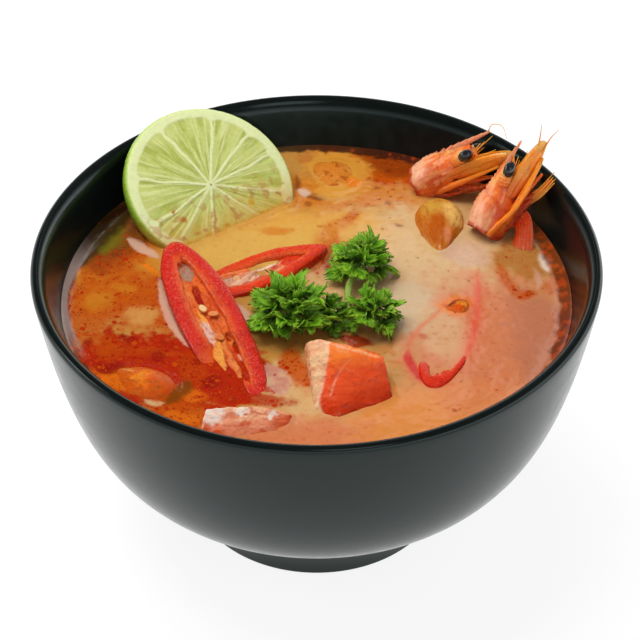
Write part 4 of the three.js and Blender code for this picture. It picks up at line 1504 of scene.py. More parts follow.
        # the right head's walking legs are red; the left head's are painted dark, as the shade under it
        shin_red_or_shade = red if self.legs else paint(156, 34, 6)
        for k in range(6):
            reach = draw.uniform(-1, 1, 3)
            hip, knee = [2 + 1.7 * k, -0.8, -4.2], [8.5 + 1.4 * k, -1.6 + 0.5 * reach[0], -7.0 - 0.3 * k]
            foot = [16 + k + reach[1], -1.2, -8.6 - 0.5 * k + reach[2]]
            limb([hip, knee, foot], 1.0, 0.25, shin_red_or_shade, mix(shin_red_or_shade, orange, 0.25), 8)
        if self.legs:
            closed, tone = self._fan(red)
            work.tube(pose.carry(closed), tone=tone)
            near = [[0.2, -3.4, -1.2], [4, -4.5, -2.6], [8, -4.7, -4.4], [14, -3.8, -5.8], [24, -1.6, -6.4]]
            limb(near, 0.9, 0.6, mix(orange, amber, 0.3), amber, 12)
            for whisker in (
                [[26, -1.8, -4.4], [30, -1.4, -3.6], [33.5, -1.2, -2.6]],
                [[26.5, -1.6, -5.8], [30.5, -1.6, -6.2], [34, -1.8, -7.4]],
            ):
                limb(whisker, 0.3, 0.06, amber, paint(150, 84, 44), 6)
            first = np.array([[10, -0.6, -4.8], [16, -2.2, -8.6], [22.4, -3.8, -10.6]])
            last = np.array([[9, -0.4, -5.0], [14, -2.8, -9.6], [20.0, -4.4, -12.0]])
            for share in np.linspace(0, 1, 7):
                leg = mix(first, last, share) + (1.2 * math.sin(9 * share), 0, 0)
                limb(leg, 0.6, 0.1, mix(red, orange, 0.6), amber, 6)
        else:
            limb([[26.5, 0, 3.0], [29, -0.4, 4.4], [31.5, -0.6, 2.6], [31, -1, -1]], 0.16, 0.08, orange, pale, 5)
        install(work.build(self.node + "_limbs"), finish, self.node)

    def _fan(self, red: Colour) -> tuple[Array, Array]:
        """Walking legs pressed together into one fluted sheet that hangs to the soup, and its tone.

        Args:
            red: the colour where the legs leave the head.

        Returns:
            The points and a colour for each.
        """
        first = np.array([[7.0, 0.6, -4.4], [3.4, -1.6, -7.8], [-3.0, -3.6, -8.2]])
        last = np.array([[11.0, -0.6, -4.8], [9.0, -2.6, -10.2], [-0.6, -5.2, -15.0]])
        across, down = np.linspace(0, 1, 61), np.linspace(0, 1, 60)[:, None, None]
        sheet = np.stack([spline(mix(first, last, share), 60) for share in across], 1)
        normal = unit(np.cross(np.gradient(sheet, axis=0), np.gradient(sheet, axis=1)))
        thick = (0.9 * np.sqrt(1 - (2 * across - 1) ** 2) * (1 + 0.12 * np.cos(38 * across)))[None, :, None]
        strands = 0.5 + 0.5 * np.cos(38 * across + 3 * down[..., 0])[..., None]
        blur = ease(cloud(sheet * (1, 0.5, 1), 1.6, self.seed + 21), 0.35, 0.65)[..., None]
        colour = mix(red, paint(214, 92, 34), ease(down, 0.2, 0.8) * (0.3 + 0.2 * strands + 0.5 * blur))
        edge = 0.5 * ease(np.abs(across - 0.5)[None, :, None], 0.47, 0.495)
        colour = mix(colour, paint(240, 140, 110), edge)
        closed = np.concatenate([sheet + thick * normal, (sheet - thick * normal)[:, ::-1]], 1)
        return closed, np.concatenate([colour, colour[:, ::-1]], 1)

    def _eyes(self) -> None:
        """Glossy black eyes, longer than they are wide."""
        balls, ball = Patchwork(), globe(24, 40)
        dents = (1 + 0.1 * swell(ball, 0.6, self.seed + 17))[..., None]
        for side in (-1, 1):
            place = np.array([18.9, side * 3.7, 0.6])
            balls.tube(self.pose.carry(place + (2.3, 1.5, 1.6) * ball * dents))
        black = Dressing("prawn_eye", {"Base Color": paint(30, 30, 34), "Coat Weight": 0.6, "Coat Roughness": 0.08})
        black.gloss(0.7, 2, (0.3, 0.7), (0.12, 0.3))
        black.relief(black.cells(0.22).outputs["Distance"], 0.02)
        install(balls.build(self.node + "_eyes"), black, self.node)


# ------------------------------------------------------------------- parsley


@dataclass(frozen=True)
class ParsleyHead:
    """One curly head: leaflets that spring from a knot and fill a flattened dome; its shade darkens the whole head as
    painted shade.
    """

    centre: tuple
    radius: float
    sprays: int
    seed: int
    shade: float = 0.0


@dataclass(frozen=True)
class ParsleySprig:
    """Heads of curly parsley and the stems between them."""

    node: str
    heads: tuple
    stems: tuple

    @staticmethod
    def lobe(length: float, width: float, fold: float, curl: float, twist: float) -> tuple[Array, Array]:
        """One lobe of a leaflet: a folded blade with a three-toothed tip.

        With u along it and v across, x = L u (1 − 0.15 u (1 − cos 3πv)) and
        y = ½ W v sin(π(0.1 + 0.7u))^0.7; it is folded up by f|y|, droops by c x²/L and twists with u.

        Args:
            length: L.
            width: W.
            fold: f.
            curl: c.
            twist: the turn at the tip, in radians.

        Returns:
            The blade's points, and how near each is to its tip or edge.
        """
        u, v = np.linspace(0, 1, 6)[:, None], np.linspace(-1, 1, 7)[None]
        x = length * u * (1 - 0.15 * u * (1 - np.cos(3 * np.pi * v)))
        y = 0.5 * width * v * np.sin(np.pi * (0.1 + 0.7 * u)) ** 0.7
        z = fold * np.abs(y) - curl * x**2 / length
        c, s = np.cos(twist * u), np.sin(twist * u)
        return np.stack([x + 0 * y, c * y - s * z, s * y + c * z], -1), np.maximum(u + 0 * v, np.abs(v) + 0 * u)

    def build(self) -> None:
        """Makes the leaves and the stems of the whole sprig."""
        leaves, stems, sides = Patchwork(), Patchwork(), 14
        for head in self.heads:
            self._head(head, leaves, stems)
        ridges = 1 + 0.12 * np.cos(5 * np.arange(sides) * 2 * np.pi / sides)
        for path in self.stems:
            middle = spline(path, 40)
            points = middle[:, None] + (sweep(middle, 0.9, sides) - middle[:, None]) * ridges[None, :, None]
            stems.tube(points, tone=np.broadcast_to(paint(150, 175, 80), points.shape))
        green = Moist(glow=0.15, depth=0.5, spread=(0.5, 1.0, 0.2), gloss=0.34)
        finish = ToneFlesh("parsley_leaf", green, paint(48, 104, 12), 0.8, 0.1, 0.4).make()
        blades = leaves.build(self.node + "_leaves")
        body = blades.modifiers.new("body", "SOLIDIFY")
        body.thickness, body.offset = 0.24 * MM, 0.0
        install(blades, finish, self.node)
        pale = Moist(glow=0.2, depth=0.8, spread=(0.6, 1.0, 0.3), gloss=0.35)
        finish = ToneFlesh("parsley_stem", pale, paint(110, 150, 50), 0.8).make()
        install(stems.build(self.node + "_stems"), finish, self.node)

    def _head(self, head: ParsleyHead, leaves: Patchwork, stems: Patchwork) -> None:
        """Leaflets in threes at the ends of fine stalks, over a dome.

        Args:
            head: the head to make.
            leaves: where its blades go.
            stems: where its stalks go.
        """
        draw = np.random.default_rng(head.seed)
        golden = math.pi * (3 - math.sqrt(5))
        centre = np.array(head.centre, float)
        for i in range(head.sprays):
            share = (i + 0.5) / head.sprays
            rise = math.radians(82 - 96 * share**0.75 + draw.uniform(-8, 8))
            turn = i * golden + draw.uniform(-0.3, 0.3)
            out = np.array([math.cos(rise) * math.cos(turn), math.cos(rise) * math.sin(turn), math.sin(rise)])
            size = head.radius * draw.uniform(0.46, 0.6)
            root = centre + out * head.radius * draw.uniform(0.32, 0.5) * (1, 1, 0.72)
            stalk = spline([centre + out * 0.5, centre + 0.6 * (root - centre) + (0, 0, 0.3), root], 8)
            tone = np.broadcast_to(paint(96, 140, 44), (8, 6, 3))
            stems.tube(sweep(stalk, 0.32, 6, up=(0.3, 0.9, 0.2)), tone=tone)
            side = unit(np.cross(out, (0.2, 0.1, 1.0)))
            for fan in (-0.95, 0.0, 0.95):
                ahead = math.cos(fan) * out + math.sin(fan) * side
                face = unit(np.cross(ahead, np.cross((0, 0, 1.0) + 0.8 * draw.uniform(-1, 1, 3), ahead)))
                rows = np.array([ahead, np.cross(face, ahead), face])
                self._leaflet(head, root, rows, size * (1.0 if fan == 0 else 0.84), draw, leaves)

    def _leaflet(
        self, head: ParsleyHead, root: Array, rows: Array, size: float, draw: np.random.Generator, leaves: Patchwork
    ) -> None:
        """A terminal lobe and two pairs of side lobes, each with its own fold and twist, lighter at the edges and tips
        as painted light and darker deep in the head as painted shade.

        Args:
            head: the head that it belongs to.
            root: where it leaves its stalk.
            rows: its ahead, across and upward directions.
            size: its length.
            draw: the random draw.
            leaves: where its blades go.
        """
        # painted light and shade: pale green on edges and tips, dark green deep in the head and over a shaded head
        dark, mid, bright = paints((22, 56, 8), (92, 158, 16), (172, 214, 60))
        lobes = ((0, 0.22, 0.8), (0.66, 0.3, 0.56), (-0.66, 0.3, 0.56), (1.35, 0.1, 0.46), (-1.35, 0.1, 0.46))
        for angle, start, share in lobes:
            length = size * share * draw.uniform(0.85, 1.15)
            fold, curl, twist = draw.uniform(0.2, 0.7), draw.uniform(-0.25, 0.55), draw.uniform(-0.9, 0.9)
            blade, edge = self.lobe(length, 0.56 * length, fold, curl, twist)
            c, s = math.cos(angle), math.sin(angle)
            local = blade @ np.array([[c, s, 0], [-s, c, 0], [0, 0, 1]]) + (start * size, 0, 0)
            points = root + local @ rows
            depth = np.linalg.norm((points - np.array(head.centre, float)) / (1, 1, 0.8), axis=-1)
            painted_edge_light = ease(edge + 0.6 * swell(points, 2.6, head.seed), 0.3, 1.15) * draw.uniform(0.4, 1.0)
            tone = lay(mid, bright, painted_edge_light * (0.95 - head.shade))
            deep = 0.85 * ease(depth, 0.8 * head.radius, 0.35 * head.radius)
            leaves.grid(points, tone=lay(tone, dark, np.maximum(deep, head.shade)))


# ---------------------------------------------------------------------- soup


class Tone(Enum):
    """The broth's colours, from cream to dark oil, and a few that stand for light and shade: a painted veil, painted
    reflections and painted shade.
    """

    TAN = paint(196, 140, 66)
    CREAM = paint(221, 183, 130)
    PALE = paint(214, 158, 84)
    GOLD = paint(228, 166, 70)
    LEMON = paint(222, 174, 84)
    HONEY = paint(212, 122, 26)
    YELLOW = paint(206, 132, 30)
    FRONT = paint(232, 142, 70)
    MAUVE = paint(190, 118, 88)
    MOSS = paint(122, 62, 0)
    CRIMSON = paint(204, 26, 4)
    OLIVE = paint(112, 104, 16)
    KHAKI = paint(176, 112, 44)
    GREY = paint(208, 180, 140)
    ORANGE = paint(196, 80, 0)
    RED = paint(182, 36, 0)
    EMBER = paint(148, 12, 0)
    SIENNA = paint(224, 108, 62)
    PINK = paint(217, 124, 84)
    ROSE = paint(228, 84, 56)
    BROWN = paint(104, 38, 10)
    SHADE = paint(56, 40, 12)
    GLINT = paint(214, 170, 146)
    WHITE = paint(240, 228, 212)
    AMBER = paint(236, 124, 14)


PLAIN_GREASE = 0.15
GREASE = {
    Tone.ORANGE: 0.85, Tone.AMBER: 0.6, Tone.HONEY: 0.5, Tone.RED: 1.0, Tone.EMBER: 1.0, Tone.BROWN: 0.7,
    Tone.PINK: 0.3, Tone.KHAKI: 0.5, Tone.SHADE: 0.1, Tone.GLINT: 0.0, Tone.WHITE: 0.0, Tone.GREY: 0.05,
}


@dataclass(frozen=True)
class Pool:
    """A soft patch of another tone in the soup."""

    tone: Tone
    x: float
    y: float
    length: float
    width: float
    turn: float = 0.0
    strength: float = 1.0
    edge: float = 0.6

    def weight(self, place: Array, points: Array, seed: int) -> Array:
        """Its share at each point: soft over the rim of a ragged ellipse.

        Args:
            place: the surface's places, bent by the warp.
            points: the same places, not bent.
            seed: picks the rim's pattern.

        Returns:
            A share from 0 to 1 for each place.
        """
        q = oval(place[..., 0] - self.x, place[..., 1] - self.y, self.length, self.width, self.turn)
        q = q + 0.35 * swell(points, 2.6, seed, 4)
        return self.strength * ease(q, 1 + self.edge / 2, 1 - self.edge / 2)


@dataclass(frozen=True)
class Ribbon:
    """A streak of another tone along a line in the soup, thin at its ends."""

    tone: Tone
    line: tuple
    width: float
    strength: float = 1.0
    soft: float = 0.5

    def weight(self, place: Array, points: Array, seed: int) -> Array:
        """Its share at each point: by the distance to the line, less where the line ends.

        Args:
            place: the surface's places, bent by the warp; a ribbon keeps to its line and leaves them aside.
            points: the same places, not bent.
            seed: picks the rim's pattern.

        Returns:
            A share from 0 to 1 for each place.
        """
        path, margin = spline(self.line, 40), self.width + 2
        flat = points[..., :2].reshape(-1, 2)
        near = (flat > path.min(0) - margin).all(1) & (flat < path.max(0) + margin).all(1)
        share = np.zeros(len(flat))
        if near.any():
            gaps = np.linalg.norm(flat[near, None] - path, axis=-1)
            along = np.abs(2 * gaps.argmin(1) / (len(path) - 1) - 1)
            half = self.width / 2 * (1 - along**3)
            ragged = 0.15 * self.width * swell(points.reshape(-1, 3)[near], 2.2, seed)
            share[near] = ease(gaps.min(1) + ragged, half + self.soft, half - self.soft)
        return self.strength * share.reshape(points.shape[:-1])


@dataclass(frozen=True)
class Soup:
    """The soup: a closed body whose surface climbs the wall and the garnish."""

    bowl: Bowl
    shores: Array
    patches: tuple
    level: float = SOUP_LEVEL
    climb: float = 1.3
    climb_reach: float = 1.6
    lap: float = 0.35
    lap_reach: float = 0.7
    columns: int = 480

    @property
    def edge(self) -> float:
        """The radius at which the surface meets the wall."""
        return self.bowl.wall_radius(self.level + self.climb) + 0.05

    def height(self, x: Array, y: Array) -> Array:
        """The surface: its level, climb · e^(−d / reach) from the wall, less from shores, and a faint swell.

        Args:
            x, y: places on the surface.

        Returns:
            The height of each place.
        """
        rise = self.climb * np.exp(-(self.edge - np.hypot(x, y)) / self.climb_reach)
        flat, margin, most_pairs = np.stack([x, y], -1).reshape(-1, 2), 4, 4_000_000
        nearest = np.full(len(flat), 9.0)
        order = np.argsort(flat[:, 0])
        sorted_x = flat[order, 0]
        for shore in self.shores:
            first = np.searchsorted(sorted_x, shore[:, 0].min() - margin)
            last = np.searchsorted(sorted_x, shore[:, 0].max() + margin)
            some = order[first:last]
            some = some[np.abs(flat[some, 1] - shore[:, 1].mean()) < np.ptp(shore[:, 1]) / 2 + margin]
            for block in np.array_split(some, max(1, len(some) * len(shore) // most_pairs)):
                gap = np.sqrt(((flat[block, None] - shore[None]) ** 2).sum(-1).min(1))
                nearest[block] = np.minimum(nearest[block], gap)
        lap = self.lap * np.exp(-nearest.reshape(x.shape) / self.lap_reach)
        ripple = 0.08 * swell(np.stack([x, y, 0 * x], -1), 11, 77, 2)
        return self.level + np.maximum(rise, lap) + ripple

    def tones(self, points: Array) -> tuple[Array, Array, Array]:
        """The broth's own colour, its deeper one and how oily it is, patch over patch.

        Args:
            points: places on the surface, with a height of nought.

        Returns:
            Colour, deeper colour and oiliness of each point.
        """
        warp = np.stack([swell(points, 9, 301, 3), swell(points, 9, 302, 3), 0 * points[..., 0]], -1)
        place = points + 2.6 * warp
        tone = np.broadcast_to(np.array(Tone.TAN.value), points.shape)
        oil = np.full(points.shape[:-1], 0.25)
        for k, patch in enumerate(self.patches):
            weight = patch.weight(place, points, 400 + k)
            tone = lay(tone, patch.tone.value, weight)
            oil = mix(oil, GREASE.get(patch.tone, PLAIN_GREASE), weight)
        tone, left = self._rim(points, tone)
        return tone, tone * np.array([0.84, 0.58, 0.36]), oil * (1 - left)

    def _rim(self, points: Array, tone: Array) -> tuple[Array, Array]:
        """The tone with a brown rim along the wall, and the share of a painted grey reflection along the left wall.

        Painted shade darkens the rim almost to black at the back and on the left.

        Args:
            points: places on the surface, with a height of nought.
            tone: the colour of each.

        Returns:
            The colours and the share of the painted reflection.
        """
        r, angle = np.hypot(points[..., 0], points[..., 1]), np.degrees(np.arctan2(points[..., 1], points[..., 0]))
        right = ease(np.abs(angle - 4), 34, 14)
        rim = ease(r + 1.5 * swell(points, 2.4, 91), self.edge - 2.6 - 2.0 * right, self.edge - 1.6 - 1.0 * right)
        # painted shade: the rim goes almost black at the back and on the left
        dim = np.maximum(ease(np.abs(angle - 95), 50, 20), ease(np.abs(angle - 152), 22, 12))
        rim_brown_and_shade = lay(Tone.BROWN.value, paint(40, 18, 8), dim)
        stains = (1 - dim) * ease(cloud(points, 1.5, 93), 0.5, 0.66)
        tone = lay(tone, lay(rim_brown_and_shade, paint(186, 66, 10), 0.7 * stains), 0.9 * rim)
        # painted reflection: a grey band on the soup along the left wall
        aside = np.abs(angle % 360 - 180)
        left = ease(aside, 24, 8) * ease(r + 0.02 * aside**1.6, self.edge - 1.9, self.edge - 1.3)
        return lay(tone, paint(150, 134, 128), 0.9 * left), left

    def build(self) -> None:
        """Makes the surface on rings that crowd towards the wall, and the body under it."""
        rings = np.concatenate([np.linspace(0.3, self.edge - 4, 176), np.linspace(self.edge - 3.7, self.edge, 16)])
        angle = turns(self.columns)
        x, y = rings[:, None] * np.cos(angle), rings[:, None] * np.sin(angle)
        top = np.stack([x, y, self.height(x, y)], -1)
        wall = self.bowl.inner_wall(60)
        wall = wall[wall[:, 1] < self.level - 1][::6]
        below = revolve(np.vstack([wall, [(1.0, self.bowl.floor_height + 0.3)]]) - (0.3, -0.1), self.columns)
        points = np.concatenate([top, below])
        tone, deep, oil = self.tones(points * (1, 1, 0))
        install_tube("broth", points, OilyBroth().make(), "broth", "soup", tone=tone, deep=deep, oil=oil)


@dataclass(frozen=True)
class Afloat:
    """Small things scattered over the soup, thickest where it is oily: beads of oil or chilli flakes."""

    name: str
    count: int
    smallest: float
    largest: float
    lift: float
    columns: int
    ragged: float
    first: Colour
    second: Colour
    bias: float
    seed: int
    gloss: float

    def build(self, soup: Soup, extra: tuple = ()) -> None:
        """Drops each thing on the surface: lens sections r(1 − s²), their outline ragged for flakes.

        Args:
            soup: what they float on.
            extra: things at stated places, as x, y and radius.
        """
        draw = np.random.default_rng(self.seed)
        reach = soup.edge - 1.2
        spots = draw.uniform(-reach, reach, (12 * self.count, 2))
        spots = spots[np.hypot(*spots.T) < reach]
        below, _, oil = soup.tones(np.column_stack([spots, np.zeros(len(spots))]))
        kept = np.flatnonzero(draw.uniform(size=len(spots)) < oil**self.bias)[: self.count]
        spots, below, oil = spots[kept], below[kept], oil[kept]
        radius = self.smallest * (self.largest / self.smallest) ** (draw.uniform(size=len(spots)) ** 2.2)
        spots = np.vstack([spots, np.reshape([place[:2] for place in extra], (-1, 2))])
        radius = np.concatenate([radius, [place[2] for place in extra]])
        things = len(spots)
        share = np.array([0.06, 0.5, 0.8, 0.97, 0.8])
        rise = np.array([0.98, 0.78, 0.42, 0.0, -0.6])
        angle = turns(self.columns) + draw.uniform(0, 6.3, (things, 1))
        outline = 1 + self.ragged * draw.uniform(-1, 1, (things, self.columns))
        stretch = 1 + (0.15 + self.ragged) * draw.uniform(0, 1, (things, 1))
        turn = draw.uniform(0, np.pi, (things, 1))
        along, across = np.cos(angle - turn) * stretch, np.sin(angle - turn) / stretch
        c, s = np.cos(turn), np.sin(turn)
        ring = np.stack([along * c - across * s, along * s + across * c], -1)
        ring = ring * (outline * radius[:, None])[..., None]
        flat = spots[:, None, None] + share[None, :, None, None] * ring[:, None]
        z = soup.height(spots[:, 0], spots[:, 1])[:, None] + self.lift * np.sqrt(radius)[:, None] * rise
        points = np.concatenate([flat, np.broadcast_to(z[:, :, None, None], (*flat.shape[:3], 1))], -1)
        tone = mix(self.first, self.second, draw.uniform(size=(things, 1)) ** 1.5)
        tone[: len(below)] = lay(below, tone[: len(below)], ease(oil, -0.25, 0.9))
        work = Patchwork()
        work.crowd(points, tone=tone)
        wet = Moist(glow=0.1, gloss=self.gloss, shine=0.12)
        finish = ToneFlesh(self.name + "_film", wet, self.first, 0.3, 0.03, 0.4).make()
        install(work.build(self.name), finish, "soup")


RING_LINE = (
    (23.0, -22.0), (23.6, -26.0), (25.8, -30.7), (29.1, -33.4), (32.6, -34.6), (35.5, -31.5), (37.3, -27.6),
    (39.4, -21.4), (41.3, -12.5), (42.5, -4.5), (43.1, 4.0), (43.5, 12.4),
)

STAINS = (
    (3.0, 59.0), (0.8, 55.4), (7.8, 57.2), (5.5, 57.4), (19.9, 41.1), (19.5, 56.7), (16.1, 52.7), (-2.4, 41.6),
    (22.7, 32.0), (0.4, 46.4), (2.0, 45.2), (16.4, 47.5),
)

PATCHES = (
    # the pale middle: cream, made paler as a painted reflection of a light
    Pool(Tone.CREAM, 27, 16, 34, 27, 20, 0.9, 1.0),
    Pool(Tone.PINK, 46, -17, 24, 27, 20, 0.85, 0.9),
    Pool(Tone.FRONT, 26, -48, 36, 13, 10, 0.85, 0.9),
    Pool(Tone.PINK, 42, -38, 11, 7, 40, 0.5, 0.9),
    # a painted reflection: a pale veil over the middle
    Pool(Tone.GREY, 22, -3, 8, 12, 0, 0.85, 0.9),
    Pool(Tone.MAUVE, 60, -17, 9, 22, 8, 0.8, 0.9),
    Pool(Tone.CREAM, 33, -14, 6, 11, 15, 0.55, 0.9),
    # a painted reflection on the soup
    Pool(Tone.GLINT, 41, 20, 7, 5, -20, 0.7, 0.9),
    Pool(Tone.CREAM, -2, -38, 14, 12, 0, 0.7, 0.9),
    Pool(Tone.GOLD, -2, 30, 20, 10, 0, 0.85, 0.9),
    Pool(Tone.LEMON, -18, 21, 24, 9, 15, 0.85, 0.9),
    Pool(Tone.HONEY, 8, 47, 24, 7.5, 0, 0.85, 0.8),
    Pool(Tone.YELLOW, -54, 12, 14, 16, 0, 0.85, 0.8),
    Pool(Tone.ORANGE, -48, -1, 21, 12, -10, 0.9, 0.8),
    Pool(Tone.ORANGE, -56, 15, 9, 5, 20, 0.8, 0.8),
    Pool(Tone.ORANGE, -62, -10, 6, 14, 0, 0.7, 0.8),
    Pool(Tone.ORANGE, -50, 22, 6, 5, 0, 0.6, 0.9),
    Pool(Tone.PALE, -46.6, -7.2, 5, 3.4, 20, 0.75, 0.9),
    Pool(Tone.YELLOW, -58.9, -0.9, 4.5, 5, 0, 0.7, 0.9),
    Pool(Tone.YELLOW, -52, 4.5, 4, 2.2, -20, 0.55, 0.9),
    Pool(Tone.BROWN, -53.5, 27, 7, 9, -20, 0.75, 0.8),
    Pool(Tone.BROWN, -59, 17, 5, 6, 0, 0.5, 0.9),
    Pool(Tone.OLIVE, -57.5, 29, 5.0, 9, -12, 0.9, 0.5),
    Pool(Tone.RED, -38, -29.2, 27.5, 15.4, -9, 1.0, 0.22),
    Pool(Tone.RED, -38, -29.8, 14, 9, -9, 0.4, 0.9),
    Pool(Tone.ORANGE, -37.2, -41.5, 9, 3.2, -20, 0.8, 0.8),
    Pool(Tone.ORANGE, -33, -47, 9, 4.4, -24, 0.9, 0.8),
    Pool(Tone.AMBER, -33, -46.5, 5, 2.2, -24, 0.5, 0.9),
    Pool(Tone.AMBER, -31.5, -38.6, 4.4, 2.4, -30, 0.6, 0.8),
    Pool(Tone.AMBER, -49, -33, 8, 3.8, -25, 0.75, 0.9),
    Pool(Tone.ORANGE, -55, -20, 5, 3, -30, 0.7, 0.9),
    Pool(Tone.ORANGE, -42, -21, 8, 2.2, -4, 0.5, 0.9),
    Pool(Tone.ORANGE, -31, -29, 3.5, 6, 20, 0.45, 0.9),
    Pool(Tone.EMBER, -53.0, -27.6, 3.3, 2.9, 0, 0.85, 0.5),
    Pool(Tone.EMBER, -41.4, -22.8, 2.4, 2.2, 0, 0.75, 0.5),
    Pool(Tone.EMBER, -49.6, -16.4, 2.2, 1.6, 0, 0.75, 0.6),
    Pool(Tone.EMBER, -60.5, -19.6, 2.0, 1.8, 0, 0.75, 0.6),
    Pool(Tone.EMBER, -26.7, -34.2, 2.7, 2.6, 0, 0.85, 0.5),
    Pool(Tone.EMBER, -29.8, -26.0, 1.9, 1.7, 0, 0.7, 0.6),
    Pool(Tone.RED, -16, -40.5, 9, 3, -5, 0.8, 0.6),
    Pool(Tone.ORANGE, 20, 60, 22, 10, -12, 0.9, 0.7),
    Pool(Tone.BROWN, 24, 59, 12, 5, -12, 0.6, 0.8),
    Pool(Tone.GOLD, 6.2, 56, 8.4, 11.4, 0, 0.85, 0.35),
    Pool(Tone.YELLOW, 6.2, 56, 7, 9, 0, 0.6, 1.6),
    Pool(Tone.AMBER, 9.4, 52.7, 2.6, 2.8, 0, 0.8, 0.9),
    Pool(Tone.RED, 5.7, 66.0, 4.2, 1.6, 0, 0.6, 0.9),
    Pool(Tone.RED, 4.0, 50.9, 1.5, 1.3, 0, 0.6, 0.9),
    *(Pool(Tone.BROWN, x, y, 1.1, 0.8, 0, 0.5, 0.9) for x, y in STAINS),
    Ribbon(Tone.BROWN, ((-6.0, 55.5), (-5.3, 51.3), (-5.6, 47.6)), 1.4, 0.7, 0.5),
    Ribbon(Tone.BROWN, ((-4.0, 46.6), (-1.0, 44.2), (3.2, 43.4)), 1.5, 0.7, 0.5),
    Ribbon(Tone.PALE, ((-0.6, 45.6), (3.5, 43.6), (8.8, 44.4), (12.4, 47.0)), 2.0, 0.6, 0.8),
    Ribbon(Tone.WHITE, ((-5.4, 48.2), (-3.6, 46.9), (-3.0, 44.6)), 2.8, 0.5, 0.8),
    Ribbon(Tone.HONEY, ((12.5, 37.7), (7.7, 33.3), (3.5, 29.0), (1.0, 22.0), (1.6, 14.0)), 5.5, 0.75, 1.6),
    Pool(Tone.ORANGE, 9.5, 35.4, 3.2, 1.6, 40, 0.5, 0.8),
    Pool(Tone.ORANGE, 2.5, 17, 3.6, 8, -20, 0.7, 0.9),
    Pool(Tone.HONEY, -12.5, 30.0, 5, 1.8, 12, 0.7, 0.9),
    Pool(Tone.BROWN, 6, 12, 3, 8, 0, 0.6, 0.9),
    Pool(Tone.KHAKI, 56, 17, 9, 9, 0, 0.85, 0.6),
    Ribbon(Tone.ORANGE, ((48.8, 15.9), (49.9, 11.6), (51.3, 6.4), (54.3, 1.0), (57.7, 2.4)), 3.2, 0.7, 1.2),
    Pool(Tone.ORANGE, 56.3, 2.0, 2.8, 1.3, 15, 0.8, 0.8),
    Pool(Tone.ORANGE, 64.4, 6.5, 3.6, 4.5, -30, 0.6, 0.9),
    Pool(Tone.PINK, -6, -54, 18, 7, 0, 0.8, 0.8),
    Pool(Tone.EMBER, 10.2, -18.0, 5.4, 2.2, -4, 0.85, 0.5),
    Pool(Tone.ORANGE, -5.4, -29, 3, 9, 10, 0.85, 0.7),
    Pool(Tone.ORANGE, 27.8, -16.0, 1.8, 1.5, 0, 0.6, 0.6),
    # painted shade: a dark olive streak beside the front mussel lump
    Ribbon(Tone.MOSS, ((-32.6, -33.0), (-34.4, -37.6), (-38.4, -42.4)), 4.2, 0.9, 0.9),
    Ribbon(Tone.CREAM, ((-43.8, -41.0), (-41.2, -42.3), (-38.8, -42.0)), 1.6, 0.85, 0.5),
    Ribbon(Tone.SHADE, ((-64.6, 12.0), (-62.2, 20.0), (-58.6, 28.0), (-54.0, 36.0), (-49.0, 42.5)), 6.5, 0.95, 1.4),
    Pool(Tone.AMBER, 36.4, -2.6, 4.6, 3.6, 0, 0.75, 0.7),
    Ribbon(Tone.ROSE, RING_LINE[5:], 5.0, 0.35, 2.4),
    Ribbon(Tone.ROSE, RING_LINE[6:], 1.7, 0.75, 0.8),
    Ribbon(Tone.ROSE, RING_LINE[:6], 4.0, 0.5, 1.8),
    Ribbon(Tone.CRIMSON, ((23.9, -20.6), (23.7, -24.4), (25.2, -29.0), (27.6, -32.8), (30.4, -35.0)), 2.4, 0.95, 0.5),
    Ribbon(Tone.SIENNA, ((23.8, -23.0), (24.4, -18.0), (27.4, -11.9), (31.5, -6.6), (34.4, -1.6)), 1.4, 0.7, 0.7),
    # painted reflections on the soup around the front chilli ring; the amber streak among them is a colour of its own
    Ribbon(Tone.GLINT, ((-51.9, 26.1), (-47.6, 21.6), (-42.7, 17.3)), 3.2, 0.9, 0.3),
    Ribbon(Tone.AMBER, ((-47.2, 15.1), (-45.0, 12.9), (-42.1, 9.5)), 1.4, 0.9, 0.3),
    Ribbon(Tone.GLINT, ((-42.2, 8.5), (-40.6, 1.0), (-38.6, -7.2), (-35.6, -15.0), (-32.0, -21.2)), 3.4, 0.85, 0.35),
    Ribbon(Tone.GLINT, ((-24.5, -1.8), (-20.8, -5.5), (-17.5, -9.8)), 4.0, 0.8, 0.4),
    Ribbon(Tone.GLINT, ((-12.6, -26.6), (-10.2, -32.6), (-8.6, -39.4)), 6.4, 0.6, 0.6),
    # painted reflections by the right wall: a white one and a fainter one
    Ribbon(Tone.WHITE, ((60.6, 19.1), (61.8, 15.5), (62.2, 11.3)), 2.8, 0.7, 0.8),
    Ribbon(Tone.GLINT, ((58.6, 13.0), (59.6, 8.0), (59.0, 4.0)), 1.6, 0.5, 0.8),
)

OIL_BEADS = ((-45.6, -26.4, 1.3), (-61.5, -12.7, 0.9), (-36.5, -27.0, 1.0), (-47.5, -18.5, 1.0))


# -------------------------------------------------------------------- studio


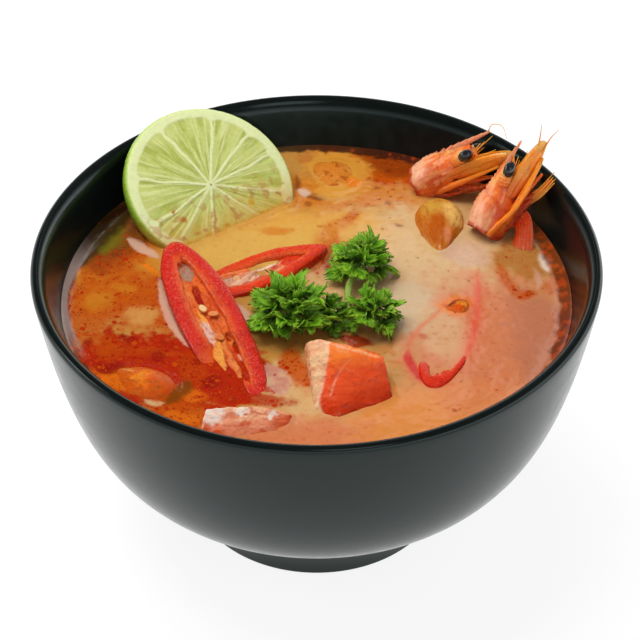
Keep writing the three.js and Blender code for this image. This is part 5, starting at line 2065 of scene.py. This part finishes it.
@dataclass(frozen=True)
class Studio:
    """The plain pale floor, the soft lights and the camera, placed in metres."""

    elevation: float = 39.75
    distance: float = 0.7
    aim: tuple = (0.0009, 0.0, 0.0607)
    lens: float = 147.06

    def build(self) -> None:
        """Sets the floor, the sky, the lights, the camera and the film's plain response."""
        scene = bpy.context.scene
        scene.view_settings.view_transform = "Standard"
        self._floor()
        scene.world = self._room()
        middle = (0, 0, 0.06)
        self._softbox("back_softbox", (0.06, 0.78, 0.72), (0.06, 0.0, 0.07), (0.09, 0.15), 0.055)
        self._softbox("top_softbox", (-0.25, 0.2, 1.0), middle, (0.75, 0.75), 9.2, shine=False)
        self._softbox("left_softbox", (-0.8, 0.1, 0.45), middle, (0.3, 0.3), 1.2)
        self._softbox("front_softbox", (0.2, -0.75, 0.85), middle, (0.4, 0.4), 1.0)
        camera = bpy.data.cameras.new("camera")
        camera.lens, camera.sensor_width = self.lens, 36.0
        camera.clip_start, camera.clip_end = 0.05, 20.0
        holder = bpy.data.objects.new("camera", camera)
        e = math.radians(self.elevation)
        x, y, z = self.aim
        holder.location = (x, y - self.distance * math.cos(e), z + self.distance * math.sin(e))
        holder.rotation_euler = (math.pi / 2 - e, 0.0, 0.0)
        scene.collection.objects.link(holder)
        scene.camera = holder

    @staticmethod
    def _room() -> bpy.types.World:
        """A room that is bright near the horizon, more so to the right, and dim above.

        Returns:
            The world.
        """
        world = bpy.data.worlds.new("pale_room")
        world.use_nodes = True
        nodes, links = world.node_tree.nodes, world.node_tree.links
        sky = nodes["Background"]
        sky.inputs["Color"].default_value = (0.97, 0.98, 1.0, 1.0)
        way, product = nodes.new("ShaderNodeSeparateXYZ"), nodes.new("ShaderNodeMath")
        product.operation = "MULTIPLY"
        links.new(nodes.new("ShaderNodeTexCoord").outputs["Generated"], way.inputs[0])
        ends = {"Z": (0.46, 0.06, 0.06, 1.0), "X": (-0.9, 0.9, 1.1, 2.9)}
        for k, (axis, values) in enumerate(ends.items()):
            step = nodes.new("ShaderNodeMapRange")
            step.interpolation_type = "SMOOTHSTEP"
            links.new(way.outputs[axis], step.inputs["Value"])
            for socket, value in zip(("From Min", "From Max", "To Min", "To Max"), values):
                step.inputs[socket].default_value = value
            links.new(step.outputs["Result"], product.inputs[k])
        links.new(product.outputs[0], sky.inputs["Strength"])
        return world

    @staticmethod
    def _floor() -> None:
        """A wide flat floor, nearly white."""
        x, y = np.meshgrid(*[np.linspace(-3000, 3000, 9)] * 2)
        work = Patchwork()
        work.grid(np.stack([x, y, 0 * x], -1))
        floor = work.build("floor")
        glow = {"Roughness": 0.7, "Emission Color": (1.0, 1.0, 1.0), "Emission Strength": 0.86}
        paper = Dressing("floor_paper", glow)
        paper.colour(paper.blend(paper.noise(400, 2), (0.21, 0.21, 0.21), (0.23, 0.23, 0.23)))
        floor.data.materials.append(paper.material)
        floor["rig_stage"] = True

    @staticmethod
    def _softbox(name: str, place: tuple, target: tuple, size: tuple, power: float, shine: bool = True) -> None:
        """A rectangular soft light that faces a target, seen in mirror images or not.

        Args:
            name: the light's name.
            place: where it stands.
            target: where it points.
            size: its width and height.
            power: in watts.
            shine: whether mirror images show it.
        """
        light = bpy.data.lights.new(name, "AREA")
        light.shape, light.size, light.size_y, light.energy = "RECTANGLE", size[0], size[1], power
        holder = bpy.data.objects.new(name, light)
        holder.location = place
        holder.visible_glossy = shine
        back = unit(np.subtract(place, target))
        x = unit(np.cross(UP, back))
        holder.rotation_euler = Matrix(np.array([x, np.cross(back, x), back]).T.tolist()).to_euler()
        bpy.context.scene.collection.objects.link(holder)


# ---------------------------------------------------------------------- main


def lay_chilli() -> None:
    """Cuts and lays the three rings of chilli and the scrap inside the right one."""
    # painted highlights: the palest strips in the front ring's lining
    hole, slot, painted_gleam, gold = paints((176, 140, 116), (168, 24, 4), (232, 186, 168), (242, 156, 62))
    ChilliRing(
        "chilli_front", (-14.8, -41.4, 66.9), (-39.2, 18.6, 72.3), 17.2, 0.9, -4, 5.1, 9.0, fray=1.0, grain=1.5,
        core=0.35, seeds=((-7, 0.9, 0.5, 0.1), (1.5, -0.6, 1.4, 0.25), (4.4, 1.3, 0.2, 1.0)), seed=3,
        dents=(
            Dent(20.4, 0.3, 3.6, 1.9, 0, 0.7, hole),
            Dent(10.2, 0.4, 4.6, 1.1, -4, 0.9, slot),
            Dent(0.5, 2.2, 5.0, 0.9, 2, -0.4, gold),
            Dent(-5.4, 2.5, 6.6, 1.15, 3, 0.1, painted_gleam),
            Dent(-6.7, -1.8, 1.5, 0.9, -20, 1.8, slot),
            Dent(-11.4, -2.4, 2.0, 1.0, -10, 1.8, slot),
            Dent(-18.4, -2.5, 5.6, 1.2, 2, 0.1, painted_gleam),
            Dent(-14.0, 3.4, 9.0, 1.5, -14, -0.5, gold),
        ),
    ).build()
    ChilliRing(
        "chilli_back", (-34.5, -0.2, 66.1), (2.8, 20.4, 69.6), 15.2, 0, -6, 4.2, 7.4,
        point=0.45, core=-0.1, seeds=((-6, 0.4, 0.9, 0.6),), seed=17, flesh=paint(240, 150, 108),
        peel=(214, 34, 2), meat=(226, 56, 12), grain=0.4, brim=1.0,
        dents=(
            Dent(12.0, 0.0, 5.0, 3.0, 0, -0.6, paint(222, 54, 16)),
            Dent(-3.0, -1.0, 6.0, 1.3, 10, 0.4, paint(240, 190, 156)),
            Dent(3.6, 1.0, 4.0, 0.6, 0, -0.3, paint(246, 206, 176)),
            Dent(-10.0, 0.6, 4.4, 1.3, 10, 0.4, paint(214, 168, 140)),
            Dent(-5.0, 2.4, 7.0, 0.8, 4, -0.4, paint(240, 120, 60)),
        ),
    ).build()
    ChilliRing(
        "chilli_right", (29.3, -36.4, 67.3), (41.4, 7.0, 66.1), 14.2, 0, 3, 2.4, 5.2, seed=29, fade=1.5,
        peel=(214, 24, 2), meat=(226, 46, 10), grain=0.3, brim=0.35,
    ).build()
    scrap = MeatTones(*paints((236, 96, 10), (248, 150, 40), (130, 24, 2), (232, 120, 60)))
    MusselMeat(
        "chilli_scrap", (34.2, -4.2, 67.6), (39.8, -2.8, 68.1), 5.0, 3.2, 2, 51, scrap, (0.4, 0.5),
        blots=((paint(120, 34, 4), -0.4, 0.25, 0.42), (paint(255, 160, 50), 0.6, -0.3, 0.3)),
    ).build()


def lay_salmon() -> None:
    """Cuts and lays the two chunks of salmon."""
    FishChunk(
        "salmon_middle",
        (
            (0.8, -29.2, 79.3), (3.4, -30.6, 79.0), (-2.9, -28.6, 77.3),
            (17.2, -32.6, 75.4), (-3.2, -25.6, 74.0), (16.4, -28.4, 73.4),
            (20.2, -40.4, 68.2), (5.0, -48.4, 68.2), (0.8, -46.6, 68.2), (-0.9, -43.0, 68.2),
            (19.4, -37.4, 63.6), (2.4, -44.8, 63.6), (0.2, -41.6, 63.6), (15.2, -26.4, 63.6), (-2.6, -24.8, 63.6),
        ),
        FishTones(*paints((255, 132, 44), (246, 88, 38), (218, 56, 6), (244, 196, 146), (255, 170, 112))),
        ((8.6, -34.2, 76.4), (6.4, -36.6, 75.2), (4.6, -39.6, 73.4), (3.6, -42.4, 71.4)), 5, 0.3,
        lit_cheek=((-0.2, 68.6), (0.2, 69.5), (1.3, 72.0), (2.5, 75.5), (3.3, 79.0)),
    ).build()
    FishChunk(
        "salmon_front",
        (
            (-28.0, -47.6, 71.6), (-13.0, -46.4, 71.3), (-5.8, -47.2, 69.0),
            (-29.4, -54.6, 67.6), (-20.5, -59.4, 66.6), (-9.8, -57.4, 66.6),
            (-26.6, -46.0, 62.2), (-9.2, -45.0, 62.2), (-12.4, -53.6, 61.8), (-25.6, -52.6, 61.8),
        ),
        FishTones(*paints((244, 170, 128), (238, 132, 92), (206, 74, 22), (246, 200, 170), (244, 182, 140))),
        ((-24.0, -50.0, 71.0), (-17.0, -52.4, 70.0), (-11.0, -50.0, 70.4)), 12, 0.8,
        # painted highlights on the front chunk's top
        ((-26.4, -48.6, 71.4, 4.6), (-19.0, -47.6, 71.2, 2.4), (-11.4, -48.4, 70.4, 1.8)),
    ).build()


def lay_mussels() -> None:
    """Lays the two lumps of mussel meat."""
    blots = (
        (paint(206, 156, 58), 0.6, 0.25, 0.6),
        (paint(242, 200, 112), 0.3, -0.6, 0.5),
        (paint(188, 86, 4), -0.3, 0.14, 0.52),
        (paint(226, 138, 92), -0.45, -0.45, 0.25),
        (paint(236, 176, 110), -0.9, 0.0, 0.15),
    )
    golden = MeatTones(*paints((204, 112, 18), (234, 182, 96), (176, 78, 6), (222, 140, 60)))
    MusselMeat(
        "mussel_back", (33.5, 19.9, 67.4), (33.9, 40.2, 69.3), 12, 8, 4, 5, golden, (1.2, 0.5), 0.45, 0.2, blots=blots
    ).build()
    # blots on the front lump: real bright orange, a painted pale yellow highlight towards its start, and a deeper
    # orange towards its far end, where painted shade falls
    glow = (
        (paint(255, 158, 34), -0.2, -0.1, 0.5),
        (paint(255, 196, 92), -0.5, 0.3, 0.3),
        (paint(222, 84, 14), 0.6, 0.1, 0.42),
    )
    bright = MeatTones(*paints((246, 120, 8), (255, 186, 66), (140, 84, 24), (206, 74, 4)))
    MusselMeat(
        "mussel_front", (-54.2, -27.4, 65.8), (-36.6, -38.6, 66.4), 12.6, 7.6, 3, 9, bright, stripes=0.15, shaded_end=0.3,
        blots=glow, shore=1.9,
    ).build()


def lay_parsley() -> None:
    """Lays the two sprigs of parsley."""
    ParsleySprig(
        "parsley_left",
        (ParsleyHead((-7.0, -11.2, 72.2), 13.4, 18, 11), ParsleyHead((2.8, -10.6, 71.0), 7.8, 11, 41, 0.4)),
        ([(-7.0, -11.2, 72.2), (-2, -11.2, 71.4), (2.8, -10.6, 71.0)],),
    ).build()
    ParsleySprig(
        "parsley_right",
        (ParsleyHead((12.4, 10.0, 71.8), 10.6, 15, 23), ParsleyHead((15.2, -10.6, 71.5), 9.6, 14, 37)),
        ([(11.4, 8.2, 71.4), (8.7, 1.5, 71.6), (8.6, -8.5, 71.4), (13.4, -10.4, 71.4)],),
    ).build()


def shores_of(pieces: list[bpy.types.Object]) -> list[Array]:
    """Where each piece meets the soup's surface: its points within 0.3 mm of the level, thinned.

    Args:
        pieces: the finished garnish.

    Returns:
        One array of X and Y for each piece that meets the surface.
    """
    shores = []
    for piece in pieces:
        points = np.empty(len(piece.data.vertices) * 3, np.float32)
        piece.data.vertices.foreach_get("co", points)
        points = points.reshape(-1, 3) / MM
        near = points[np.abs(points[:, 2] - SOUP_LEVEL) < 0.3][:, :2]
        if len(near):
            shores.append(np.unique(np.round(near * 2) / 2, axis=0))
    return shores


def main() -> None:
    """Builds the bowl, the garnish and the soup, in that order, and sets the studio."""
    bowl = Bowl()
    bowl.build()
    LimeSlice().build()
    lay_chilli()
    lay_salmon()
    MushroomCap().build()
    lay_mussels()
    PrawnHead("prawn_head_left", (28.3, 49.2, 69.2), (42.4, 47.0, 80.9), (-0.56, 0.53, 0.63), 3.1, False, 61).build()
    PrawnHead("prawn_head_right", (45.8, 27.5, 69.0), (53.2, 36.0, 84.5), (-0.89, 0.28, 0.34), 0.6, True, 67).build()
    lay_parsley()
    shoreless = ("glazed_bowl", "chilli_right", "chilli_scrap")
    garnish = [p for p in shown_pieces() if "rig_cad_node" not in p and not p.name.startswith(shoreless)]
    soup = Soup(bowl, shores_of(garnish), PATCHES)
    soup.build()
    dark, warm, rust, tan = paints((176, 24, 0), (206, 74, 4), (150, 34, 0), (206, 84, 14))
    Afloat("oil_beads", 1500, 0.1, 0.75, 0.035, 12, 0.04, dark, warm, 3.0, 5, 0.16).build(soup, OIL_BEADS)
    Afloat("chilli_flakes", 2600, 0.1, 0.4, 0.05, 6, 0.35, rust, tan, 2.2, 9, 0.3).build(soup)
    Studio().build()


if __name__ == "__main__":
    logging.basicConfig(level=logging.INFO, format="%(message)s")
    main()
